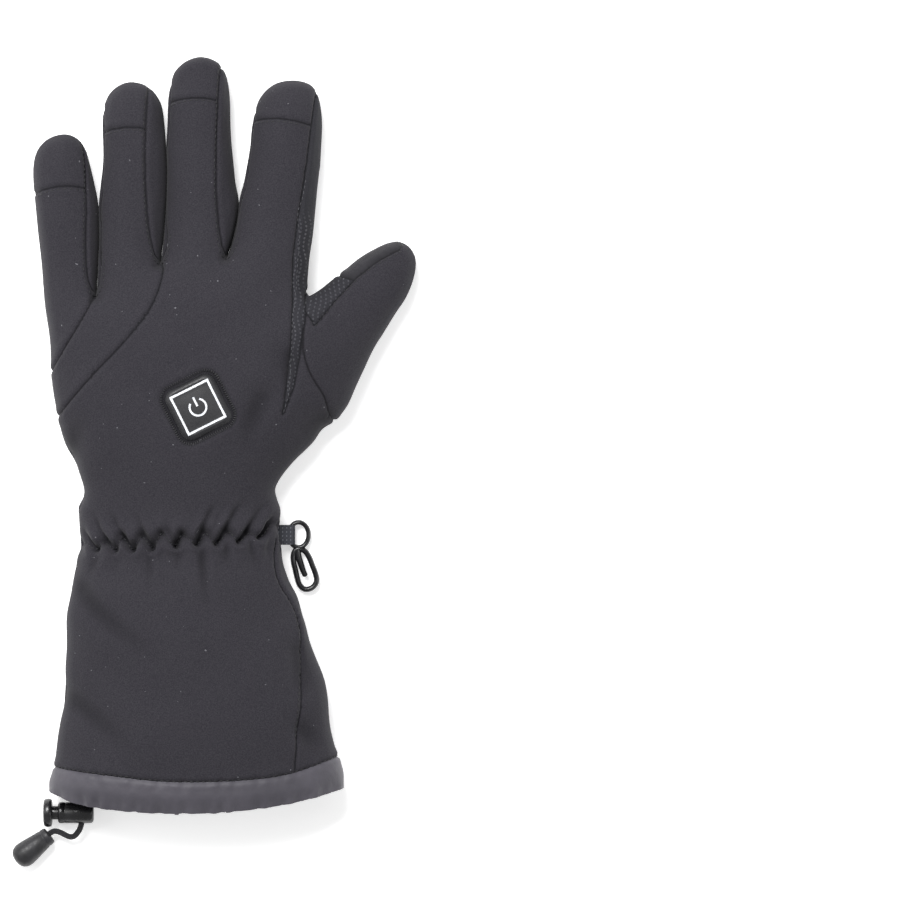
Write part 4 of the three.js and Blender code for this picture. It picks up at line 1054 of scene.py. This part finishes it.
# Switch
# A soft black silicone button, pushed through a hole in the back panel, with a bevelled edge. A plain square
# and a power symbol are printed on it in white.
def on_cloth(x, y, above=True):
    """Where a line straight down, or up from below, meets the glove, and the cloth's direction there."""
    start, way = ((x, y, 90), (0, 0, -1)) if above else ((x, y, -20), (0, 0, 1))
    place, normal, _, _ = shell_tree.ray_cast(Vector(start), Vector(way))
    return (None, None) if place is None else (np.array(place), np.array(normal))


silicone, shader, n = new_material("switch_silicone", (0.011, 0.011, 0.013), 0.42)
n.two_tone(shader, n.noise(90, 3), 0.3, 0.7, (0.0095, 0.0095, 0.0115), (0.0145, 0.0145, 0.017))
n.link(n.ramp(n.noise(1400, 2), 0.3, 0.7, 0.4, 0.55), shader.inputs["Roughness"])
n.bump(n.noise(3000, 2), 0.2, 0.0001, shader)
white_print, shader, n = new_material("white_print", (0.75, 0.77, 0.8), 0.55)
n.two_tone(shader, n.noise(700, 3), 0.25, 0.6, (0.62, 0.65, 0.7), (0.82, 0.84, 0.87))

pad_probe = []
for u in (-11, 0, 11):
    for v in (-11, 0, 11):
        spot = PAD_CENTRE + u * pad_x + v * pad_y
        pad_probe.append((u, v, on_cloth(*spot)[0][2]))
pad_probe = np.array(pad_probe)
probe_plan = np.column_stack([pad_probe[:, :2], np.ones(len(pad_probe))])
tilt = np.linalg.lstsq(probe_plan, pad_probe[:, 2], rcond=None)[0]


def on_pad(u, v, up):
    """A place over the pad: u and v are in its own square, up is over the cloth."""
    x, y = PAD_CENTRE + u * pad_x + v * pad_y
    return (x, y, tilt[0] * u + tilt[1] * v + tilt[2] + up - 0.004 * (u * u + v * v))


def rounded_square(half, corner, steps=10):
    found = []
    for quarter in range(4):
        middle = math.pi / 2 * quarter
        sx, sy = ((1, 1), (-1, 1), (-1, -1), (1, -1))[quarter]
        for k in range(steps + 1):
            angle = middle + math.pi / 2 * k / steps
            found.append((sx * (half - corner) + corner * math.cos(angle),
                          sy * (half - corner) + corner * math.sin(angle)))
    return found


pad_rings = [(0.6, -2.6), (0.0, -0.6), (0.0, 0.3), (0.2, 0.8), (0.6, 1.3), (1.1, 1.7), (1.6, 1.95),
             (2.0, 2.05), (2.3, 2.03), (2.6, 1.95), (5.5, 1.95), (8.0, 1.97), (10.5, 1.97)]
pad_points, pad_faces = [], []
for inset, up in pad_rings:
    corner = max(PAD_ROUND - 0.5 * inset, 0.5)
    pad_points += [on_pad(u, v, up) for u, v in rounded_square(PAD_HALF - inset, corner)]
around = len(pad_points) // len(pad_rings)
for i in range(len(pad_rings) - 1):
    for k in range(around):
        m = (k + 1) % around
        pad_faces.append([i * around + k, i * around + m, (i + 1) * around + m, (i + 1) * around + k])
pad_faces += [list(range(around))[::-1], [(len(pad_rings) - 1) * around + k for k in range(around)]]
pad = new_piece("switch_silicone_pad", pad_points, pad_faces, silicone)
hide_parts("switch_pad")


def print_strip(inner, outer, closed):
    """A raised strip of print between two lines of the pad."""
    count = len(inner)
    corners = []
    for up in (1.85, 2.12):
        corners += [on_pad(u, v, up) for u, v in inner] + [on_pad(u, v, up) for u, v in outer]
    low_in, low_out, top_in, top_out = 0, count, 2 * count, 3 * count
    polygons = []
    for k in range(count if closed else count - 1):
        m = (k + 1) % count
        polygons += [[top_in + k, top_out + k, top_out + m, top_in + m],
                     [low_in + k, low_in + m, low_out + m, low_out + k],
                     [low_out + k, low_out + m, top_out + m, top_out + k],
                     [low_in + m, low_in + k, top_in + k, top_in + m]]
    if not closed:
        last = count - 1
        polygons += [[low_in, low_out, top_out, top_in],
                     [low_out + last, low_in + last, top_in + last, top_out + last]]
    return corners, polygons


print_corners, print_faces = [], []
SQUARE_HALF, SQUARE_LINE = 8.95, 0.95
POWER_RADIUS, POWER_LINE = 3.9, 0.8
square_in = rounded_square(SQUARE_HALF - SQUARE_LINE, 0.15, 2)
square_out = rounded_square(SQUARE_HALF, 0.15, 2)
gap_middle = math.radians(92)
turns = [gap_middle + math.radians(a) for a in np.linspace(38, 322, 40)]
POWER_INNER = POWER_RADIUS - POWER_LINE
arc_in = [(POWER_INNER * math.cos(a), POWER_INNER * math.sin(a)) for a in turns]
arc_out = [(POWER_RADIUS * math.cos(a), POWER_RADIUS * math.sin(a)) for a in turns]
stroke_in = [(-0.42, 4.6), (-0.42, 0.5)]
stroke_out = [(0.42, 4.6), (0.42, 0.5)]
for inner, outer, closed in ((square_in, square_out, True), (arc_in, arc_out, False),
                             (stroke_out, stroke_in, False)):
    corners, polygons = print_strip(inner, outer, closed)
    print_faces += [[c + len(print_corners) for c in row] for row in polygons]
    print_corners += corners
new_piece("switch_print", print_corners, print_faces, white_print)

# Webbing
# A short loop of woven polyester webbing with pale flecks, sewn into the wrist's side seam and folded round
# the hook's ring.
webbing, shader, n = new_material("webbing", (0.045, 0.047, 0.058), 0.8)
over_web = n.add("ShaderNodeSeparateXYZ")
n.link(n.place, over_web.inputs[0])
rib = n.math("SINE", n.math("MULTIPLY", over_web.outputs["X"], FULL_TURN / 0.00075))
row_x = n.math("SUBTRACT", n.math("FRACT", n.math("DIVIDE", over_web.outputs["X"], 0.0017)), 0.5)
row_y = n.math("SUBTRACT", n.math("FRACT", n.math("DIVIDE", over_web.outputs["Y"], 0.0017)), 0.5)
speck = n.ramp(n.math("ADD", n.math("ABSOLUTE", row_x), n.math("ABSOLUTE", row_y)), 0.14, 0.24, 1, 0)
n.link(n.mix(speck, (0.03, 0.032, 0.041), (0.13, 0.135, 0.155)), shader.inputs["Base Color"])
n.bump(rib, 0.5, 0.0002, shader)
WEB_Y = -42.9
WEB_WIDE = 8.4
web_path = [(14, WEB_Y, 8.6), (18, WEB_Y, 8.2), (21, WEB_Y, 7.2), (24, WEB_Y, 6.2), (26, WEB_Y, 6.1),
            (27.4, WEB_Y, 5.3), (27.7, WEB_Y, 3.6), (27.4, WEB_Y, 2.0), (26.2, WEB_Y, 1.05),
            (23, WEB_Y, 0.95), (19, WEB_Y, 1.6), (15, WEB_Y, 3.6)]
strap = bar("webbing_strap", smooth_line(web_path, 5), WEB_WIDE / 2, webbing, side=(0, 1, 0),
            squash=0.12, square=0.35, sides=24)
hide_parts("webbing_loop")

# Snap hook
# A glossy black acetal hook, moulded in one piece: a ring for the webbing, a long loop and its spring tongue.
# It hangs on the webbing beside the wrist.
glossy_black, shader, n = new_material("glossy_black", (0.008, 0.008, 0.009), 0.18)
n.two_tone(shader, n.noise(200, 3), 0.3, 0.7, (0.006, 0.006, 0.007), (0.012, 0.012, 0.0135))
n.link(n.ramp(n.noise(800, 4), 0.3, 0.8, 0.14, 0.3), shader.inputs["Roughness"])
RING_X, RING_Y = 29.63, -42.9
RING_WIDE, RING_LONG = 4.15, 5.3
HOOK_Z = 3.5
ring_path = [(RING_X + RING_WIDE * math.cos(a), RING_Y + RING_LONG * math.sin(a), HOOK_Z)
             for a in np.linspace(0, 2 * math.pi, 48, endpoint=False)]
hook_ring = bar("hook_ring", ring_path, 1.05, glossy_black, closed=True, side=(1, 0, 0),
                squash=1.6)
HOOK_TURN = math.radians(16)
hook_down = np.array((math.sin(HOOK_TURN), -math.cos(HOOK_TURN)))
hook_side = np.array((math.cos(HOOK_TURN), math.sin(HOOK_TURN)))
HOOK_TOP = np.array((RING_X, RING_Y - 6.2))


def on_hook(across, down, up=0.0):
    x, y = HOOK_TOP + across * hook_side + down * hook_down
    return (x, y, HOOK_Z + up)


loop_path = smooth_line([on_hook(*p) for p in ((-0.5, -0.4), (2.2, 1.2), (3.3, 4.2), (3.7, 8.0), (4.0, 12.0),
                                               (3.6, 14.8), (1.9, 16.6), (-0.3, 17.2), (-2.5, 16.5),
                                               (-3.7, 14.4), (-3.9, 11.5), (-3.7, 8.0), (-3.5, 4.2),
                                               (-2.6, 1.2))], 6, closed=True)
hook_loop = bar("hook_loop", loop_path, 1.2, glossy_black, closed=True, side=(1, 0, 0),
                squash=1.4)
tongue_path = smooth_line([on_hook(*p) for p in ((-0.6, -0.2), (-0.9, 2.5), (-0.8, 6.0), (-0.6, 9.5),
                                                 (-0.2, 11.8))], 6)
tongue_taper = np.interp(np.arange(len(tongue_path)), [0, 3, len(tongue_path) - 3, len(tongue_path) - 1],
                         [1.6, 1.5, 1.15, 0.5])
hook_tongue = bar("hook_tongue", tongue_path, tongue_taper, glossy_black, side=(1, 0, 0),
                  squash=1.15)
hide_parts("snap_hook")
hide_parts("snap_hook")
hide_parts("snap_hook")

# Zip
# A moulded zip of the 5 mm class, let into the little finger's side of the cuff: a woven tape, two rows of
# plastic teeth, and a slider with a long framed puller.
ZIP_LINE = smooth_line(palm_line(*ZIP_PIXELS), 10)
zip_places, zip_ways = [], []
for x, y in ZIP_LINE:
    place, normal = on_cloth(x, y, above=False)
    if place is not None:
        zip_places.append(place)
        zip_ways.append(normal)
zip_places = np.array(zip_places)
zip_places = np.array([zip_places[max(i - 3, 0):i + 4].mean(axis=0) for i in range(len(zip_places))])
zip_ways = np.array([np.mean(zip_ways[max(i - 5, 0):i + 6], axis=0) for i in range(len(zip_ways))])
zip_ways /= np.linalg.norm(zip_ways, axis=1, keepdims=True)
tape_weave, shader, n = new_material("zip_tape_weave", (0.022, 0.022, 0.025), 0.85)
over_tape = n.add("ShaderNodeSeparateXYZ")
n.link(n.place, over_tape.inputs[0])
rib = n.math("SINE", n.math("MULTIPLY", n.math("ADD", over_tape.outputs["Y"], over_tape.outputs["X"]),
                            FULL_TURN / 0.0009))
n.two_tone(shader, rib, -0.5, 0.8, (0.014, 0.014, 0.016), (0.032, 0.032, 0.037))
n.bump(rib, 0.5, 0.0002, shader)
TAPE_HALF = 5.6
tape_rows = []
for k in range(len(zip_places)):
    place, normal = zip_places[k], zip_ways[k]
    way = zip_places[min(k + 1, len(zip_places) - 1)] - zip_places[max(k - 1, 0)]
    across = np.cross(way, normal)
    across /= np.linalg.norm(across)
    row = []
    for share in np.linspace(-1, 1, 13):
        spot, spot_normal, _, _ = shell_tree.find_nearest(Vector(place + across * share * TAPE_HALF))
        row.append(np.array(spot) + normal * (0.28 if abs(share) < 1 else -0.25))
    tape_rows.append(row)
tape_rows = np.array(tape_rows)
rows_count, wide_count = tape_rows.shape[:2]
tape_top = tape_rows.reshape(-1, 3)
tape_under = tape_top - np.repeat(zip_ways, wide_count, axis=0) * 0.8
tape_faces = []
total = rows_count * wide_count
for i in range(rows_count - 1):
    for k in range(wide_count - 1):
        a = i * wide_count + k
        quad = [a, a + 1, a + wide_count + 1, a + wide_count]
        tape_faces += [quad, [c + total for c in quad[::-1]]]
rim = ([i * wide_count for i in range(rows_count)][::-1]
       + list(range(wide_count))
       + [i * wide_count + wide_count - 1 for i in range(rows_count)]
       + [(rows_count - 1) * wide_count + k for k in range(wide_count)][::-1])
rim = [c for i, c in enumerate(rim) if c != rim[i - 1]]
for a, b in zip(rim, rim[1:] + rim[:1]):
    tape_faces.append([b, a, a + total, b + total])
tape = new_piece("zip_tape_cloth", np.vstack([tape_top, tape_under]), tape_faces, tape_weave)
outward = np.cross(tape_rows[1, 0] - tape_rows[0, 0], tape_rows[0, 1] - tape_rows[0, 0])
if outward.dot(zip_ways[0]) > 0:
    tape.data.flip_normals()
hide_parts("zip_tape")

zip_plastic, shader, n = new_material("zip_plastic", (0.012, 0.012, 0.014), 0.35)
n.two_tone(shader, n.noise(400, 3), 0.3, 0.7, (0.01, 0.01, 0.011), (0.02, 0.02, 0.023))
n.bump(n.noise(1500, 2), 0.2, 0.0001, shader)


ROW_SIZES = ("Pitch", "Length", "Width", "Height", "Turn")


def row_tree():
    """Geometry Nodes that set small pieces along lines: stitches, or the zip's teeth."""
    tree = bpy.data.node_groups.new("stitch_row", "GeometryNodeTree")
    tree.interface.new_socket(name="Geometry", in_out="INPUT", socket_type="NodeSocketGeometry")
    for name in ROW_SIZES:
        tree.interface.new_socket(name=name, in_out="INPUT", socket_type="NodeSocketFloat")
    tree.interface.new_socket(name="Finish", in_out="INPUT", socket_type="NodeSocketMaterial")
    tree.interface.new_socket(name="Geometry", in_out="OUTPUT", socket_type="NodeSocketGeometry")
    start = tree.nodes.new("NodeGroupInput")
    end = tree.nodes.new("NodeGroupOutput")

    def step(node_kind, links=(), **settings):
        node = tree.nodes.new(node_kind)
        for key, value in settings.items():
            setattr(node, key, value)
        for socket, value in links:
            if isinstance(value, bpy.types.NodeSocket):
                tree.links.new(value, node.inputs[socket])
            else:
                node.inputs[socket].default_value = value
        return node

    line = step("GeometryNodeMeshToCurve", [("Mesh", start.outputs["Geometry"])])
    spots = step("GeometryNodeCurveToPoints",
                 [("Curve", line.outputs["Curve"]), ("Length", start.outputs["Pitch"])], mode="LENGTH")
    way = step("GeometryNodeInputNamedAttribute", [("Name", "cloth_way")], data_type="FLOAT_VECTOR")
    up = step("FunctionNodeAlignRotationToVector", [("Vector", way.outputs["Attribute"])], axis="Z")
    forward = step("FunctionNodeAlignRotationToVector",
                   [("Rotation", up.outputs["Rotation"]), ("Vector", spots.outputs["Tangent"])],
                   axis="X", pivot_axis="Z")
    swing = step("FunctionNodeRandomValue", [("Min", -0.12), ("Max", 0.12), ("Seed", 3)], data_type="FLOAT")
    angle = step("ShaderNodeMath", [(0, start.outputs["Turn"])], operation="ADD")
    tree.links.new(swing.outputs[1], angle.inputs[1])
    about = step("FunctionNodeAxisAngleToRotation", [("Axis", (0, 0, 1)), ("Angle", angle.outputs[0])])
    final = step("FunctionNodeRotateRotation",
                 [("Rotation", forward.outputs["Rotation"]), ("Rotate By", about.outputs["Rotation"])],
                 rotation_space="LOCAL")
    size = step("ShaderNodeCombineXYZ", [("X", start.outputs["Length"]), ("Y", start.outputs["Width"]),
                                         ("Z", start.outputs["Height"])])
    ball = step("GeometryNodeMeshUVSphere", [("Segments", 6), ("Rings", 5), ("Radius", 0.5)])
    shaped = step("GeometryNodeTransform", [("Geometry", ball.outputs["Mesh"]), ("Scale", size.outputs[0])])
    smooth = step("GeometryNodeSetShadeSmooth", [("Geometry", shaped.outputs["Geometry"])])
    placed = step("GeometryNodeInstanceOnPoints", [("Points", spots.outputs["Points"]),
                                                   ("Instance", smooth.outputs["Geometry"]),
                                                   ("Rotation", final.outputs["Rotation"])])
    real = step("GeometryNodeRealizeInstances", [("Geometry", placed.outputs["Instances"])])
    done = step("GeometryNodeSetMaterial", [("Geometry", real.outputs["Geometry"]),
                                            ("Material", start.outputs["Finish"])])
    tree.links.new(done.outputs["Geometry"], end.inputs["Geometry"])
    return tree


stitch_tree = row_tree()


def row_along(name, lines, finish, pitch, length, width, height, turn=0.0):
    """A row of stitches or teeth along lines; each line is a list of places and the cloth's directions."""
    corners, ways, joins = [], [], []
    for places, directions in lines:
        first = len(corners)
        corners += [tuple(np.array(place) * MM) for place in places]
        ways += [tuple(way) for way in directions]
        joins += [(first + k, first + k + 1) for k in range(len(places) - 1)]
    mesh = bpy.data.meshes.new(name + "_lines")
    mesh.from_pydata(corners, joins, [])
    cloth_way = mesh.attributes.new("cloth_way", "FLOAT_VECTOR", "POINT")
    cloth_way.data.foreach_set("vector", np.array(ways).ravel())
    source = in_scene(name + "_lines", mesh)
    modifier = source.modifiers.new("row", "NODES")
    modifier.node_group = stitch_tree
    sockets = {item.name: item.identifier for item in stitch_tree.interface.items_tree
               if item.in_out == "INPUT"}
    for label, value in zip(ROW_SIZES, (pitch * MM, length * MM, width * MM, height * MM, turn)):
        modifier[sockets[label]] = value
    modifier[sockets["Finish"]] = finish
    source.update_tag()
    made = bpy.data.meshes.new_from_object(source.evaluated_get(bpy.context.evaluated_depsgraph_get()))
    bpy.data.objects.remove(source)
    piece = in_scene(name, made)
    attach(piece, "glove")
    return piece


tooth_lines = []
across_zip = np.cross(np.gradient(zip_places, axis=0), zip_ways)
across_zip /= np.linalg.norm(across_zip, axis=1, keepdims=True)
middle_line = tape_rows[:, wide_count // 2] + zip_ways * 0.55
SLIDER_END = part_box("zip_slider")[1][1] / MM
closed = middle_line[:, 1] > SLIDER_END - 1
TOOTH_ASIDE, TOOTH_SHIFT = 1.1, 0.4
for side in (-1, 1):
    row = middle_line[closed] + side * TOOTH_ASIDE * across_zip[closed] + (0, side * TOOTH_SHIFT, 0)
    tooth_lines.append((row, zip_ways[closed]))
teeth = row_along("zip_teeth_rows", tooth_lines, zip_plastic, pitch=1.6, length=2.6,
                  width=1.0, height=1.5, turn=math.pi / 2)
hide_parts("zip_teeth")
for name in ("zip_slider", "zip_puller"):
    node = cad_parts[name]
    for place in node.material_slots:
        place.material = zip_plastic

# Stitching
# Black polyester thread along the seams: a plain row beside each, two rows at the palm's edge, and a dense
# overlock round the switch's hole.
thread, shader, n = new_material("black_thread", (0.012, 0.012, 0.014), 0.6)
n.two_tone(shader, n.noise(3000, 2), 0.3, 0.7, (0.008, 0.008, 0.009), (0.02, 0.02, 0.023))
pale_thread, shader, n = new_material("grey_thread", (0.05, 0.05, 0.058), 0.7)
n.two_tone(shader, n.noise(3000, 2), 0.3, 0.7, (0.035, 0.035, 0.04), (0.075, 0.075, 0.085))


LAID_STEP = 0.7
WIDEST_JUMP = 3


def laid(line, above=True, lift=0.08):
    """A line of the plan, laid on the cloth. It breaks where the cloth ends."""
    line = smooth_line(line, 6)
    steps = np.concatenate([[0], np.cumsum(np.linalg.norm(np.diff(line, axis=0), axis=1))])
    at = np.arange(0, steps[-1], LAID_STEP)
    xs, ys = np.interp(at, steps, line[:, 0]), np.interp(at, steps, line[:, 1])
    parts, places, ways = [], [], []
    for x, y in zip(xs, ys):
        place, way = on_cloth(x, y, above)
        jump = place is not None and places and np.linalg.norm(place - places[-1]) > WIDEST_JUMP
        if place is None or jump:
            if len(places) > 2:
                parts.append((places, ways))
            places, ways = [], []
        if place is not None:
            places.append(place + way * lift)
            ways.append(way)
    if len(places) > 2:
        parts.append((places, ways))
    return parts


def beside_line(line, aside):
    line = np.array(line, float)
    way = np.gradient(line, axis=0)
    way /= np.linalg.norm(way, axis=1, keepdims=True)
    return line + aside * np.column_stack([way[:, 1], -way[:, 0]])


plain_rows = []
for name in ("little", "ring", "middle", "index"):
    finger = fingers[name]
    start = finger["length"] - finger["cap"]
    sides = np.linspace(-0.88, finger["seam"] - 0.08, 9)
    plain_rows += laid([on_finger(name, side * finger["width"] / 2, start + 3 * (1 - side * side) - 1.2)
                        for side in sides])
for name in ("little", "ring", "middle"):
    plain_rows += laid(beside_line(smooth_line(crotch_seams[name], 3), 1.0))
plain_rows += laid(back_line((400, 252.5), (378, 264.5), (357, 280.5), (336, 302.5), (317, 326)))
plain_rows += laid(beside_line(thumb_side_seam, 1.0)[8:-10])
hem_row = [(x, y + 0.5) for x, y in hem_stitch]
plain_rows += laid(hem_row) + laid(hem_row, above=False)
row_along("seam_stitches", plain_rows, thread, pitch=2.5, length=1.9, width=0.42, height=0.42)

elastic_rows = laid(back_elastic) + laid(palm_elastic, above=False)
row_along("elastic_stitches", elastic_rows, thread, pitch=2.0, length=1.7, width=0.5, height=0.5)

wrap_row = back_line((306, 182), (302.5, 200), (298, 214), (300, 240), (298, 262), (296.6, 290),
                     (293.5, 318), (293, 342), (291.5, 368), (290, 392), (284.5, 412))
grip_rows = laid(wrap_row)
PALM_ROW = ((640, 474), (655, 477), (678, 486), (700, 495), (730, 505), (773, 513))
for down in (0, 4.5):
    grip_rows += laid(palm_line(*[(px, py + down) for px, py in PALM_ROW]), above=False)
for line in (thumb_palm_seam, grip_seam, heel_seam):
    grip_rows += laid(beside_line(line, 1.0), above=False)
for name, stretch in (("index", 33), ("thumb", 35)):
    wide = fingers[name]["width"] / 2
    for back in (1.0, 2.8):
        grip_rows += laid([on_finger(name, side * wide, fingers[name]["length"] - stretch - back)
                           for side in (-0.9, -0.3, 0.3, 0.9)], above=False)
row_along("grip_stitches", grip_rows, pale_thread, pitch=2.4, length=1.7, width=0.4,
          height=0.4)

switch_hole = [tuple(PAD_CENTRE + u * pad_x + v * pad_y)
               for u, v in rounded_square(PAD_HALF + 1.1, PAD_ROUND + 1, 4)]
row_along("switch_overlock", laid(switch_hole + switch_hole[:2], lift=0.1), thread,
          pitch=0.95, length=1.9, width=0.5, height=0.55, turn=math.pi / 2)

zip_rows = []
for edge in (-1, 1):
    spots = zip_places + edge * (TAPE_HALF + 1.2) * across_zip
    spots = np.array([np.array(shell_tree.find_nearest(Vector(spot))[0]) for spot in spots]) + zip_ways * 0.12
    zip_rows.append((spots, zip_ways))
row_along("zip_stitches", zip_rows, thread, pitch=2.5, length=1.9, width=0.42, height=0.42)
